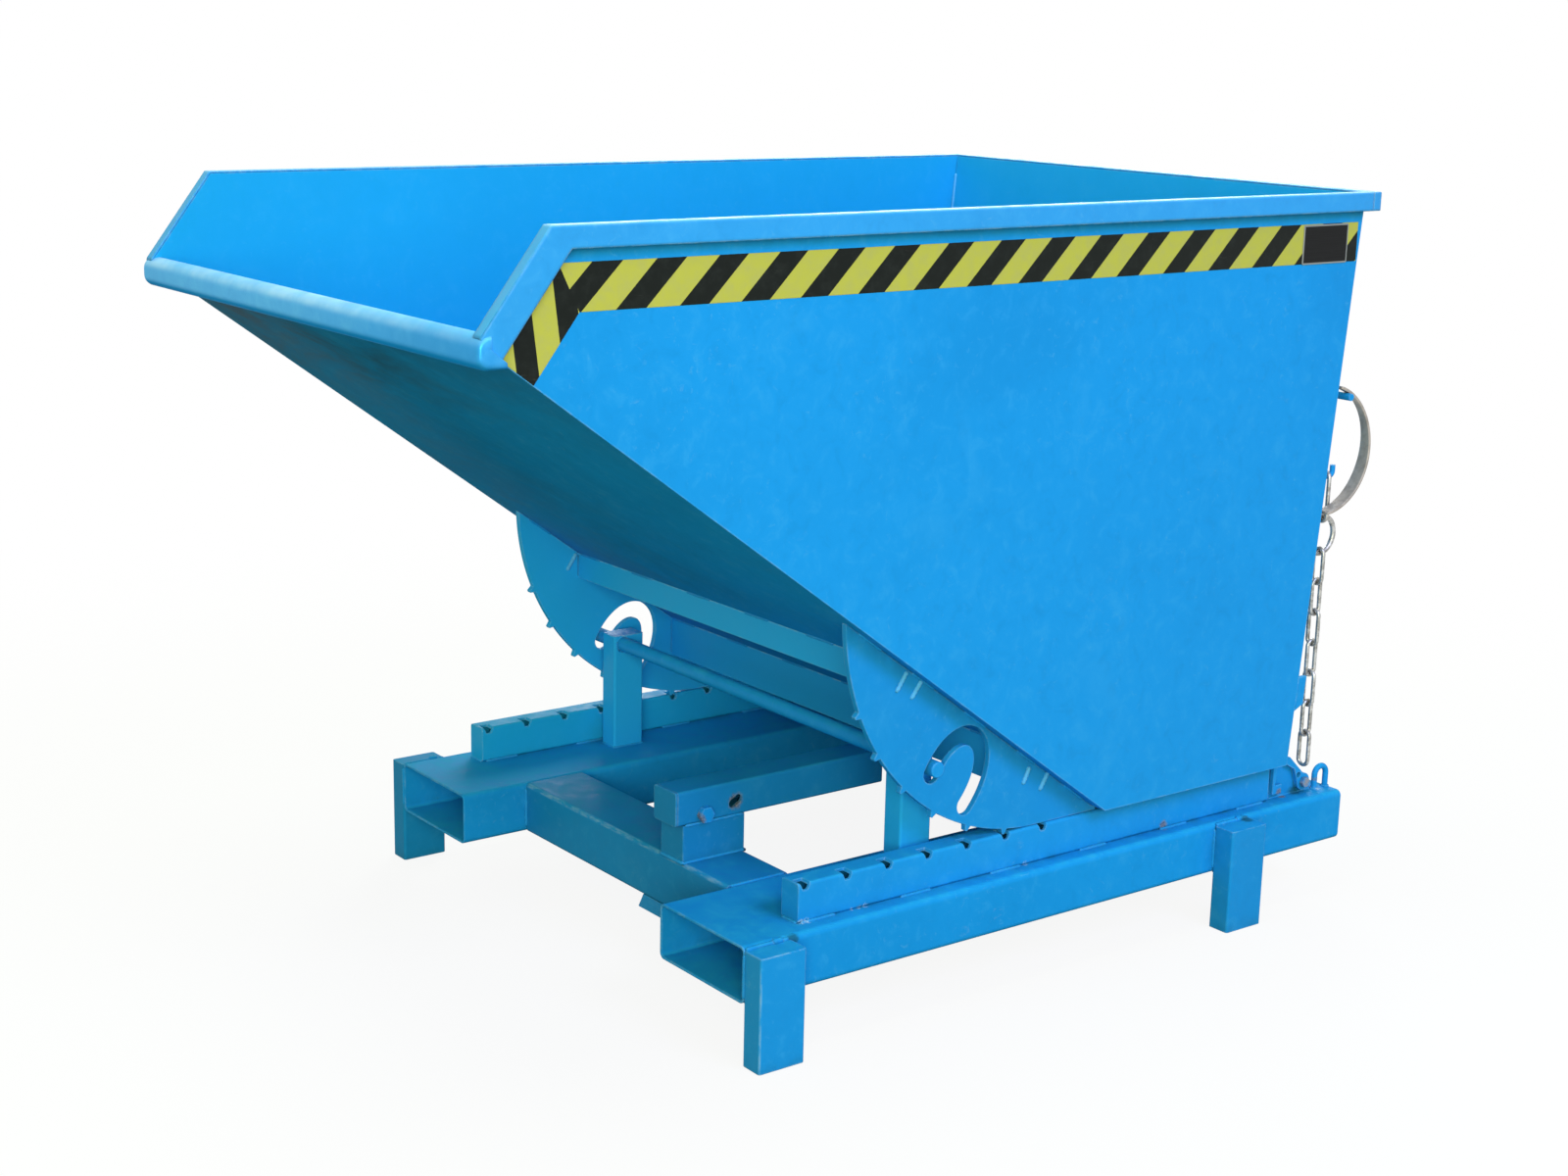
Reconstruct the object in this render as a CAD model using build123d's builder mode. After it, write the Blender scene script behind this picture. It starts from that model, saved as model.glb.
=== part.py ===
from build123d import *
import math
import os

# Tipping hopper for fork-lift trucks: a steel tub on two toothed rockers that
# roll forward along notched rails on a fork-tube frame.
# Millimetres. +Z up, the pouring lip faces -Y, X runs across the hopper.
# The floor is z = 0 and the origin is the middle of the hopper's length and width.

# Width of the frame and its height above the floor
frame_half_width = 500.0
ground_clearance = 92.0

# Tub, set out from the fold between the sloping floor and the bottom
bottom_front = 279.0
bottom_length = 421.0
lip_run = 1118.0
lip_drop = 138.0
lip_edge = 8.0
cheek_run = 99.0
tub_height = 945.0
rear_lean = 88.0
tub_lift = 8.0
tub_inset = 5.0
wall_thickness = 3.0
floor_thickness = 3.0
bottom_thickness = 6.0
rear_thickness = 5.0

# Rim, cheek rims and lip
rim_overhang = 17.5
rim_height = 30.0
cheek_height = 42.0
rim_sheet = 3.0
lip_height = 40.0
lip_return_gap = 1.2
lip_reach = 3.0
rim_round = 2.5

# Rolling motion
roll_radius = 382.0
roll_ahead = 124.0
roll_angle = 68.0
rolling_gap = 0.3

# Rocker teeth and the notches that they drop into
tooth_pitch = 77.0
first_tooth_arc = 61.0
tooth_height = 9.0
tooth_base = 14.0
tooth_tip = 4.0
tooth_root = 3.0
notch_side_gap = 2.0
notch_depth_gap = 1.5
notch_end_gap = 5.0
rear_notches = 1

# Fork tubes
tube_width = 210.0
tube_height = 86.0
tube_wall = 4.0
tube_corner = 10.0
tube_ahead_of_rail = 116.0
tube_behind_tub = 140.0

# Legs
leg_width = 80.0
leg_depth = 40.0
leg_wall = 4.0
leg_corner = 4.0
leg_top_drop = 4.0
leg_cap = 4.0
rear_leg_ahead = 171.0

# Cross beams between the fork tubes
beam_width = 116.0
beam_wall = 4.0
beam_corner = 8.0
front_beam_set_back = 3.0
rear_beam_ahead = 60.0

# Flat strip under the front cross beam
strip_height = 25.0
strip_thickness = 8.0
strip_inner_x = 47.0
strip_slant = 14.0
strip_set_back = 4.0

# Rails with tooth notches
rail_width = 40.0
rail_height = 60.0
rail_wall = 5.0
rail_corner = 5.0
rail_inset = 30.0
rail_spare = 5.63
rail_rear_gap = 12.0
rail_cap = 4.0

# Rockers
rocker_on_rail = 25.0
rocker_thickness = 10.0
rocker_heel = 8.0

# Guide rod and its posts
rod_radius = 12.5
rod_ahead = 207.0
rod_above_rail = 128.0
rod_end_beyond_rocker = 10.0
rod_chamfer = 1.5
rod_fit = 0.05
slot_gap = 2.5
slot_turn = 66.0
slot_spare_deg = 2.0
slot_steps = 12
post_width = 60.0
post_depth = 40.0
post_wall = 4.0
post_corner = 4.0
post_rail_gap = 16.0
post_over_rod = 2.5
post_behind_rod = 12.0
post_cap = 3.0

# Centre beam on the front cross beam
centre_inner_x = 115.0
centre_width = 60.0
centre_height = 55.0
centre_wall = 5.0
centre_corner = 5.0
centre_ahead = 14.0
centre_length = 405.0
centre_cap = 4.0
centre_bolt_back = 53.0
centre_bolt_drop = 41.5
centre_slot_back = 112.0
centre_slot_drop = 32.0
centre_slot_length = 26.0
centre_slot_width = 14.0
centre_slot_turn = 30.0

# Cross stiffeners under the sloping floor
stiffener_sheet = 5.0
upper_stiffener_ahead = 386.0
upper_stiffener_height = 44.6
lower_stiffener_ahead = 187.0
lower_stiffener_height = 69.0

# Round plugs that close the two jig holes at the rolling centre
plug_radius = 12.0
plug_fit = 0.1

# Warning tape and the blank plate
tape_thickness = 0.5
tape_width = 62.0
tape_drop = 18.0
tape_rear_gap = 4.0
tape_cheek_gap = 3.0
tape_floor_gap = 1.0
plate_width = 105.0
plate_height = 62.0
plate_thickness = 1.0
plate_corner = 3.0
plate_rear_gap = 23.8
plate_drop = 19.0

# Lock at the right rear corner
lock_inset = 31.0
pawl_thickness = 8.0
pawl_side_gap = 0.5
pawl_pivot_back = 76.0
pawl_pivot_rise = 19.0
pawl_hub = 15.0
pawl_nose_reach = 46.0
pawl_nose_rise = 38.0
pawl_nose_height = 12.0
pawl_top_length = 8.0
pawl_throat_reach = 24.0
pawl_throat_rise = 26.0
pull_hole_radius = 5.0
pull_hole_ahead = 13.0
pull_hole_rise = 14.0
ear_thickness = 8.0
ear_foot_ahead = 78.0
ear_foot_back = 30.0
ear_top_ahead = 70.0
ear_top_length = 39.0
ear_rise = 46.0
lock_bolt_radius = 5.0
lock_bolt_flats = 16.0
lock_head_height = 7.0
lock_nut_height = 8.0
catch_gap = 8.0
catch_rise = 8.0
catch_height = 16.0
catch_plate_height = 54.0
catch_plate_depth = 6.0

# Small tab on the rear wall, flush with the right side
tab_thickness = 8.0
tab_above_bottom = 92.0
tab_height = 58.0
tab_depth = 20.0
tab_slant = 10.0

# Securing eye on the rear end of the right fork tube
eye_bar = 10.0
eye_inset = 34.0
eye_end_gap = 18.0
eye_radius = 14.0
eye_leg = 24.0

# Chain, its ring and the wall hook that it hangs on
chain_wire = 7.0
chain_pitch = 53.0
chain_inner_width = 13.0
chain_links = 7
hook_link_pitch = 76.0
chain_gap = 0.3
chain_end_rise = 26.0
ring_wire = 9.0
ring_radius = 31.5
ring_wall_gap = 4.6
hook_bar = 9.0
hook_beyond_chain = 9.0
hook_rise = 18.0
hook_bend = 9.0

# Flat-strip handle hanging on a staple
handle_side_gap = 1.5
handle_width = 24.0
handle_strip = 5.0
handle_depth = 73.14
handle_above_hook = 52.2
handle_half_height = 102.0
handle_wall_gap = 10.0
handle_return = 14.0
staple_bar = 12.0
staple_gap = 0.3
staple_overrun = 8.0

# Fasteners
bolt_radius = 6.0
bolt_fit = 0.05
bolt_head_flats = 24.0
bolt_head_height = 10.0
nut_height = 10.0

# Least inner corner of a rolled tube
least_inner_corner = 0.5

# Heights that follow from those sizes
tube_top = ground_clearance + tube_height
tube_mid_z = ground_clearance + tube_height / 2
rail_top = tube_top + rail_height
roll_z = rail_top + roll_radius
tub_bottom = rail_top + tub_lift
rim_top = tub_bottom + tub_height
wall_top = rim_top - rim_sheet
lip_floor_z = rim_top - lip_drop
lip_top_z = lip_floor_z + lip_edge
rod_z = rail_top + rod_above_rail
post_top = rod_z + rod_radius + post_over_rod
centre_low = rail_top
centre_top = centre_low + centre_height

# Places along Y
bottom_rear = bottom_front + bottom_length
rear_top_y = bottom_rear + rear_lean
lip_front = bottom_front - lip_run
front_top_y = lip_front + cheek_run
roll_start_y = bottom_front - roll_ahead
roll_travel = math.radians(roll_angle) * roll_radius
rail_front = roll_start_y - roll_travel - rail_spare
rail_rear = bottom_rear - rail_rear_gap
tube_front = rail_front - tube_ahead_of_rail
tube_rear = bottom_rear + tube_behind_tub
rear_leg_front = bottom_rear - rear_leg_ahead
front_beam_front = rail_front + front_beam_set_back
rear_beam_front = bottom_rear - rear_beam_ahead
rod_y = roll_start_y - rod_ahead
post_y = rod_y + post_behind_rod
centre_front = front_beam_front - centre_ahead
centre_rear = centre_front + centre_length

# Places along X, on the right side
tube_mid_x = frame_half_width - tube_width / 2
tube_inner_x = frame_half_width - tube_width
rail_outer_x = frame_half_width - rail_inset
rail_inner_x = rail_outer_x - rail_width
rail_mid_x = rail_outer_x - rail_width / 2
rail_spread = 2 * rail_mid_x
rocker_inner_x = rail_inner_x + rocker_on_rail
rocker_outer_x = rocker_inner_x + rocker_thickness
rocker_radius = roll_radius - rolling_gap
tub_half_width = frame_half_width - tub_inset
wall_inner_x = tub_half_width - wall_thickness
rim_outer_x = tub_half_width + rim_overhang
post_outer_x = rail_inner_x - post_rail_gap
post_inner_x = post_outer_x - post_depth
post_mid_x = post_outer_x - post_depth / 2
centre_mid_x = centre_inner_x + centre_width / 2
centre_outer_x = centre_inner_x + centre_width

sides = {"right": 1, "left": -1}
os.makedirs("parts", exist_ok=True)


def save(piece, name):
    """Label a finished piece and write it to its own file."""
    piece.label = name
    export_step(piece, f"parts/{name}.step")


def tube_section(width, height, wall, corner, x, z):
    """Draw a rectangular tube's section around a point of the sketch."""
    with Locations((x, z)):
        RectangleRounded(width, height, corner)
        inner_corner = max(corner - wall, least_inner_corner)
        RectangleRounded(width - 2 * wall, height - 2 * wall, inner_corner, mode=Mode.SUBTRACT)


def span_x(low, high, side):
    """Give the plane and the depth of a plate between two X values on one side."""
    start = low if side > 0 else -high
    return Plane.YZ.offset(start), high - low


def span_on_rail(low, high, side):
    """Give the plane and the depth between two X values of the right rail, or moved to the left rail."""
    start = low if side > 0 else low - rail_spread
    return Plane.YZ.offset(start), high - low


def meet(point_a, step_a, point_b, step_b):
    """Give the point where two lines of the YZ plane cross."""
    cross = step_a[0] * step_b[1] - step_a[1] * step_b[0]
    dy = point_b[0] - point_a[0]
    dz = point_b[1] - point_a[1]
    share = (dy * step_b[1] - dz * step_b[0]) / cross
    return (point_a[0] + share * step_a[0], point_a[1] + share * step_a[1])


def unit(start, end):
    """Give the unit step from one YZ point to another."""
    length = math.dist(start, end)
    return ((end[0] - start[0]) / length, (end[1] - start[1]) / length)


def moved(point, step, distance):
    """Move a YZ point along a step."""
    return (point[0] + step[0] * distance, point[1] + step[1] * distance)


# Outline of the tub's side in the YZ plane
lip_corner = (lip_front, lip_floor_z)
lip_point = (lip_front, lip_top_z)
bottom_front_corner = (bottom_front, tub_bottom)
bottom_rear_corner = (bottom_rear, tub_bottom)
rear_top_corner = (rear_top_y, rim_top)
front_top_corner = (front_top_y, rim_top)
slope_step = unit(bottom_front_corner, lip_corner)
slope_inward = (-slope_step[1], slope_step[0])
if slope_inward[1] < 0:
    slope_inward = (slope_step[1], -slope_step[0])
slope_down = (-slope_inward[0], -slope_inward[1])
rear_step = unit(bottom_rear_corner, rear_top_corner)
rear_inward = (-rear_step[1], rear_step[0])
cheek_step = unit(front_top_corner, lip_point)
cheek_inward = (-cheek_step[1], cheek_step[0])


def rear_wall_y(z):
    """Give the rear wall's outer face at a height."""
    return bottom_rear + (z - tub_bottom) * rear_step[0] / rear_step[1]


def slope_under(y):
    """Give the height of the sloping floor's underside."""
    return tub_bottom + (y - bottom_front) * slope_step[1] / slope_step[0]


def slope_over(z):
    """Give the Y at which the sloping floor's underside is at a height."""
    return bottom_front + (z - tub_bottom) * slope_step[0] / slope_step[1]


# Fork tubes
for side_name, side in sides.items():
    with BuildPart() as fork_tube:
        with BuildSketch(Plane.XZ.offset(-tube_front)):
            tube_section(tube_width, tube_height, tube_wall, tube_corner, side * tube_mid_x, tube_mid_z)
        extrude(amount=tube_front - tube_rear)
    save(fork_tube.part, f"fork_tube_{side_name}")

# Legs: capped tubes welded to the outer faces of the fork tubes
leg_top = tube_top - leg_top_drop
leg_mid_x = frame_half_width + leg_depth / 2
leg_fronts = {"front": tube_front, "rear": rear_leg_front}
for side_name, side in sides.items():
    for end_name, leg_front in leg_fronts.items():
        with BuildPart() as leg:
            with BuildSketch(Plane.XY):
                with Locations((side * leg_mid_x, leg_front + leg_width / 2)):
                    RectangleRounded(leg_depth, leg_width, leg_corner)
            extrude(amount=leg_top)
            with BuildSketch(Plane.XY):
                with Locations((side * leg_mid_x, leg_front + leg_width / 2)):
                    Rectangle(leg_depth - 2 * leg_wall, leg_width - 2 * leg_wall)
            extrude(amount=leg_top - leg_cap, mode=Mode.SUBTRACT)
        save(leg.part, f"leg_{end_name}_{side_name}")

# Cross beams
beam_fronts = {"front": front_beam_front, "rear": rear_beam_front}
for end_name, beam_front in beam_fronts.items():
    with BuildPart() as beam:
        with BuildSketch(Plane.YZ.offset(-tube_inner_x)):
            beam_mid = beam_front + beam_width / 2
            tube_section(beam_width, tube_height, beam_wall, beam_corner, beam_mid, tube_mid_z)
        extrude(amount=2 * tube_inner_x)
    save(beam.part, f"cross_beam_{end_name}")

# Strip under the front cross beam, from a slanted free end to the right fork tube
strip_low = ground_clearance - strip_height
with BuildPart() as beam_strip:
    with BuildSketch(Plane.XZ.offset(-front_beam_front - strip_set_back)):
        with BuildLine():
            Polyline(
                (strip_inner_x + strip_slant, ground_clearance),
                (strip_inner_x, strip_low),
                (tube_inner_x, strip_low),
                (tube_inner_x, ground_clearance),
                close=True,
            )
        make_face()
    extrude(amount=-strip_thickness)
save(beam_strip.part, "beam_strip")

# Rails: capped tubes with a row of notches cut into the top outer edge
notch_top = tooth_base + 2 * notch_side_gap
notch_bottom = tooth_tip + 2 * notch_side_gap
notch_depth = tooth_height + notch_depth_gap
tooth_count = math.floor((roll_travel - first_tooth_arc) / tooth_pitch) + 1
tooth_arcs = [first_tooth_arc + tooth_pitch * i for i in range(-rear_notches, tooth_count)]
notch_places = [roll_start_y - arc for arc in tooth_arcs]
notch_inner_x = rocker_inner_x - notch_end_gap
for side_name, side in sides.items():
    with BuildPart() as rail:
        with BuildSketch(Plane.XZ.offset(-rail_front)):
            with Locations((side * rail_mid_x, tube_top + rail_height / 2)):
                RectangleRounded(rail_width, rail_height, rail_corner)
        extrude(amount=-(rail_rear - rail_front))
        with BuildSketch(Plane.XZ.offset(-rail_front - rail_cap)):
            with Locations((side * rail_mid_x, tube_top + rail_height / 2)):
                Rectangle(rail_width - 2 * rail_wall, rail_height - 2 * rail_wall)
        extrude(amount=-(rail_rear - rail_front - rail_cap), mode=Mode.SUBTRACT)
        notch_plane, notch_span = span_on_rail(notch_inner_x, rail_outer_x + rail_wall, side)
        with BuildSketch(notch_plane):
            for notch_y in notch_places:
                with BuildLine():
                    Polyline(
                        (notch_y - notch_top / 2, rail_top + rail_wall),
                        (notch_y - notch_top / 2, rail_top),
                        (notch_y - notch_bottom / 2, rail_top - notch_depth),
                        (notch_y + notch_bottom / 2, rail_top - notch_depth),
                        (notch_y + notch_top / 2, rail_top),
                        (notch_y + notch_top / 2, rail_top + rail_wall),
                        close=True,
                    )
                make_face()
        extrude(amount=notch_span, mode=Mode.SUBTRACT)
    save(rail.part, f"rail_{side_name}")

# Posts that carry the guide rod
for side_name, side in sides.items():
    with BuildPart() as post:
        with BuildSketch(Plane.XY.offset(tube_top)):
            with Locations((side * post_mid_x, post_y)):
                RectangleRounded(post_depth, post_width, post_corner)
        extrude(amount=post_top - tube_top)
        with BuildSketch(Plane.XY.offset(tube_top)):
            with Locations((side * post_mid_x, post_y)):
                Rectangle(post_depth - 2 * post_wall, post_width - 2 * post_wall)
        extrude(amount=post_top - tube_top - post_cap, mode=Mode.SUBTRACT)
        rod_hole_plane, rod_hole_span = span_x(post_inner_x, post_outer_x, side)
        with BuildSketch(rod_hole_plane):
            with Locations((rod_y, rod_z)):
                Circle(rod_radius + rod_fit)
        extrude(amount=rod_hole_span, mode=Mode.SUBTRACT)
    save(post.part, f"guide_post_{side_name}")

# Guide rod through both posts into the rocker slots
rod_left_x = rocker_inner_x - rail_spread - rod_end_beyond_rocker
rod_right_x = rocker_outer_x + rod_end_beyond_rocker
with BuildPart() as guide_rod:
    with BuildSketch(Plane.YZ.offset(rod_left_x)):
        with Locations((rod_y, rod_z)):
            Circle(rod_radius)
    extrude(amount=rod_right_x - rod_left_x)
    chamfer(guide_rod.edges().filter_by(GeomType.CIRCLE), rod_chamfer)
save(guide_rod.part, "guide_rod")

# Centre beam, its foot on the front cross beam, its end cap and its bolt
centre_mid_z = centre_low + centre_height / 2
centre_bolt_y = centre_front + centre_bolt_back
centre_bolt_z = centre_top - centre_bolt_drop
centre_slot_y = centre_front + centre_slot_back
centre_slot_z = centre_top - centre_slot_drop
with BuildPart() as centre_beam:
    with BuildSketch(Plane.XZ.offset(-centre_front - centre_cap)):
        tube_section(centre_width, centre_height, centre_wall, centre_corner, centre_mid_x, centre_mid_z)
    extrude(amount=-(centre_rear - centre_front - centre_cap))
    with BuildSketch(Plane.YZ.offset(centre_outer_x - centre_wall)):
        with Locations((centre_slot_y, centre_slot_z)):
            SlotOverall(centre_slot_length, centre_slot_width, rotation=centre_slot_turn)
        with Locations((centre_bolt_y, centre_bolt_z)):
            Circle(bolt_radius + bolt_fit)
    extrude(amount=centre_wall, mode=Mode.SUBTRACT)
save(centre_beam.part, "centre_beam")

with BuildPart() as centre_beam_cap:
    with BuildSketch(Plane.XZ.offset(-centre_front)):
        with Locations((centre_mid_x, centre_mid_z)):
            RectangleRounded(centre_width, centre_height, centre_corner)
    extrude(amount=-centre_cap)
save(centre_beam_cap.part, "centre_beam_cap")

with BuildPart() as centre_beam_foot:
    with BuildSketch(Plane.XY.offset(tube_top)):
        with Locations((centre_mid_x, front_beam_front + beam_width / 2)):
            Rectangle(centre_width, beam_width)
            Rectangle(centre_width - 2 * centre_wall, beam_width - 2 * centre_wall, mode=Mode.SUBTRACT)
    extrude(amount=centre_low - tube_top)
save(centre_beam_foot.part, "centre_beam_foot")

with BuildPart() as centre_bolt:
    with BuildSketch(Plane.YZ.offset(centre_outer_x)):
        with Locations((centre_bolt_y, centre_bolt_z)):
            RegularPolygon(bolt_head_flats / 2, 6, major_radius=False)
    extrude(amount=bolt_head_height)
    with BuildSketch(Plane.YZ.offset(centre_outer_x - centre_wall - nut_height)):
        with Locations((centre_bolt_y, centre_bolt_z)):
            Circle(bolt_radius)
    extrude(amount=centre_wall + nut_height)
save(centre_bolt.part, "centre_beam_bolt")

# Tub: sloping floor, bottom and rear wall between two side walls
floor_inner_start = moved(bottom_front_corner, slope_inward, floor_thickness)
bottom_inner_start = (bottom_front, tub_bottom + bottom_thickness)
rear_inner_start = moved(bottom_rear_corner, rear_inward, rear_thickness)
front_fold = meet(floor_inner_start, slope_step, bottom_inner_start, (1.0, 0.0))
rear_fold = meet(rear_inner_start, rear_step, bottom_inner_start, (1.0, 0.0))
lip_inner = meet(floor_inner_start, slope_step, lip_corner, (0.0, 1.0))
rear_top_outer = (rear_wall_y(wall_top), wall_top)
rear_top_inner = meet(rear_inner_start, rear_step, rear_top_outer, (1.0, 0.0))
wrap_outlines = {
    "tub_floor": [lip_corner, bottom_front_corner, front_fold, lip_inner],
    "tub_bottom": [bottom_front_corner, bottom_rear_corner, rear_fold, front_fold],
    "tub_rear_wall": [bottom_rear_corner, rear_top_outer, rear_top_inner, rear_fold],
}
for wrap_name, outline in wrap_outlines.items():
    with BuildPart() as wrap_plate:
        with BuildSketch(Plane.YZ.offset(-wall_inner_x)):
            with BuildLine():
                Polyline(*outline, close=True)
            make_face()
        extrude(amount=2 * wall_inner_x)
    save(wrap_plate.part, wrap_name)

cheek_wall_start = moved(front_top_corner, cheek_inward, rim_sheet)
wall_front_top = meet(cheek_wall_start, cheek_step, (front_top_y, wall_top), (1.0, 0.0))
wall_lip_top = meet(cheek_wall_start, cheek_step, lip_corner, (0.0, 1.0))
wall_outline = [
    wall_lip_top,
    lip_corner,
    bottom_front_corner,
    bottom_rear_corner,
    rear_top_outer,
    wall_front_top,
]
for side_name, side in sides.items():
    with BuildPart() as side_wall:
        wall_plane, wall_span = span_x(wall_inner_x, tub_half_width, side)
        with BuildSketch(wall_plane):
            with BuildLine():
                Polyline(*wall_outline, close=True)
            make_face()
            with Locations((roll_start_y, roll_z)):
                Circle(plug_radius + plug_fit, mode=Mode.SUBTRACT)
        extrude(amount=wall_span)
    save(side_wall.part, f"tub_side_{side_name}")

# Plugs at the rolling centre, one in each side wall
with BuildPart() as jig_plugs:
    for side in sides.values():
        plug_plane, plug_span = span_x(wall_inner_x, tub_half_width, side)
        with BuildSketch(plug_plane):
            with Locations((roll_start_y, roll_z)):
                Circle(plug_radius)
        extrude(amount=plug_span)
save(jig_plugs.part, "jig_plugs")

# Side rims: a folded edge along the top, bent down along the cheek to the lip
lip_low = lip_top_z - lip_height
rim_rear_end = rear_top_outer[0]
rim_under_z = rim_top - rim_height
cheek_inner_line = moved(front_top_corner, cheek_inward, cheek_height)
rim_bend_low = meet(cheek_inner_line, cheek_step, (front_top_y, rim_under_z), (1.0, 0.0))
cheek_end_z = lip_low + rim_sheet
cheek_end = meet(cheek_inner_line, cheek_step, (lip_front, cheek_end_z), (1.0, 0.0))
rim_band = [
    (rim_rear_end, rim_top),
    front_top_corner,
    lip_point,
    (lip_front, cheek_end_z),
    cheek_end,
    rim_bend_low,
    (rim_rear_end, rim_under_z),
]
hollow_band = [
    (rim_rear_end, wall_top),
    wall_front_top,
    wall_lip_top,
    (lip_front, cheek_end_z),
    (rim_rear_end, cheek_end_z),
]
cover_band = [
    (rim_rear_end, rim_top),
    front_top_corner,
    lip_point,
    wall_lip_top,
    wall_front_top,
    (rim_rear_end, wall_top),
]
for side_name, side in sides.items():
    with BuildPart() as side_rim:
        band_plane, band_span = span_x(tub_half_width, rim_outer_x, side)
        with BuildSketch(band_plane):
            with BuildLine():
                Polyline(*rim_band, close=True)
            make_face()
        extrude(amount=band_span)
        hollow_plane, hollow_span = span_x(tub_half_width, rim_outer_x - rim_sheet, side)
        with BuildSketch(hollow_plane):
            with BuildLine():
                Polyline(*hollow_band, close=True)
            make_face()
        extrude(amount=hollow_span, mode=Mode.SUBTRACT)
        cover_plane, cover_span = span_x(wall_inner_x, tub_half_width, side)
        with BuildSketch(cover_plane):
            with BuildLine():
                Polyline(*cover_band, close=True)
            make_face()
        extrude(amount=cover_span)
        outer_faces = side_rim.faces().filter_by(Axis.X).sort_by(Axis.X)
        outer_face = outer_faces[-1] if side > 0 else outer_faces[0]
        long_edges = outer_face.edges().filter_by(lambda edge: edge.length > lip_height)
        top_edge = long_edges.sort_by(Axis.Z)[-1]
        cheek_edge = long_edges.sort_by(Axis.Y)[0]
        fillet([top_edge, cheek_edge], rim_round)
    save(side_rim.part, f"rim_{side_name}")

# Rear rim across the full width
rim_rear = rear_top_outer[0] + rim_overhang
with BuildPart() as rear_rim:
    with BuildSketch(Plane.YZ.offset(-rim_outer_x)):
        with BuildLine():
            Polyline(
                (rear_top_outer[0], rim_under_z),
                (rim_rear, rim_under_z),
                (rim_rear, rim_top),
                (rear_top_outer[0], rim_top),
                close=True,
            )
        make_face()
    extrude(amount=2 * rim_outer_x)
    fillet(rear_rim.edges().filter_by(Axis.X).group_by(Axis.Z)[-1].sort_by(Axis.Y)[-1:], rim_round)
    with BuildSketch(Plane.YZ.offset(-rim_outer_x + rim_sheet)):
        with BuildLine():
            Polyline(
                (rear_top_outer[0], rim_under_z),
                (rim_rear - rim_sheet, rim_under_z),
                (rim_rear - rim_sheet, wall_top),
                (rear_top_outer[0], wall_top),
                close=True,
            )
        make_face()
    extrude(amount=2 * (rim_outer_x - rim_sheet), mode=Mode.SUBTRACT)
    with BuildSketch(Plane.YZ.offset(-wall_inner_x)):
        with BuildLine():
            Polyline(
                rear_top_outer,
                (rear_top_outer[0], rim_top),
                (rear_top_inner[0], rim_top),
                rear_top_inner,
                close=True,
            )
        make_face()
    extrude(amount=2 * wall_inner_x)
save(rear_rim.part, "rim_rear")

# Pouring lip: a folded edge under the front of the floor
lip_face = lip_front - lip_reach
lip_back = slope_over(lip_low + rim_sheet) - lip_return_gap
with BuildPart() as lip:
    with BuildSketch(Plane.YZ.offset(-rim_outer_x)):
        with BuildLine():
            Polyline(
                (lip_face, lip_top_z),
                (lip_face, lip_low),
                (lip_back, lip_low),
                (lip_back, lip_low + rim_sheet),
                (lip_front, lip_low + rim_sheet),
                (lip_front, lip_top_z),
                close=True,
            )
        make_face()
    extrude(amount=2 * rim_outer_x)
    fillet(lip.edges().filter_by(Axis.X).sort_by(Axis.Y)[:2], rim_round)
save(lip.part, "pouring_lip")

# Rockers: toothed plates under the floor, with a slot that the guide rod runs in
tiny_turn = 0.001


def on_arc(radius, angle):
    """Give the YZ point at an angle ahead of the rocker's lowest point."""
    return (roll_start_y - radius * math.sin(angle), roll_z - radius * math.cos(angle))


def slope_meets_arc():
    """Give the front point where the floor's underside crosses the rocker's arc."""
    from_centre = (bottom_front - roll_start_y, tub_bottom - roll_z)
    along = from_centre[0] * slope_step[0] + from_centre[1] * slope_step[1]
    outside = from_centre[0] ** 2 + from_centre[1] ** 2 - rocker_radius**2
    return moved(bottom_front_corner, slope_step, math.sqrt(along**2 - outside) - along)


def rod_in_rocker(turn):
    """Give the guide rod's place in the rocker after it has rolled by a turn."""
    ahead = rod_y - roll_start_y + roll_radius * turn
    above = rod_z - roll_z
    y = roll_start_y + ahead * math.cos(turn) + above * math.sin(turn)
    z = roll_z - ahead * math.sin(turn) + above * math.cos(turn)
    return (y, z)


def rod_heading(turn):
    """Give the unit step of the rod's path in the rocker at a turn."""
    return unit(rod_in_rocker(turn - tiny_turn), rod_in_rocker(turn + tiny_turn))


def slot_outline():
    """Give the two sides of the slot along the rod's path, and its rounded ends."""
    half = rod_radius + slot_gap
    last = math.radians(slot_turn + slot_spare_deg)
    first = -math.radians(slot_spare_deg)
    upper = []
    lower = []
    for i in range(slot_steps + 1):
        turn = first + (last - first) * i / slot_steps
        here = rod_in_rocker(turn)
        step = rod_heading(turn)
        across = (-step[1], step[0])
        upper.append(moved(here, across, half))
        lower.append(moved(here, across, -half))
    start_cap = moved(rod_in_rocker(first), rod_heading(first), -half)
    end_cap = moved(rod_in_rocker(last), rod_heading(last), half)
    return upper, lower, start_cap, end_cap


def tooth_outline(angle):
    """Give a tooth's corners on the rocker's arc."""
    foot = on_arc(rocker_radius - tooth_root, angle)
    tip = on_arc(rocker_radius + tooth_height, angle)
    along = (math.cos(angle), -math.sin(angle))
    return [
        moved(foot, along, -tooth_base / 2),
        moved(tip, along, -tooth_tip / 2),
        moved(tip, along, tooth_tip / 2),
        moved(foot, along, tooth_base / 2),
    ]


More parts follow.
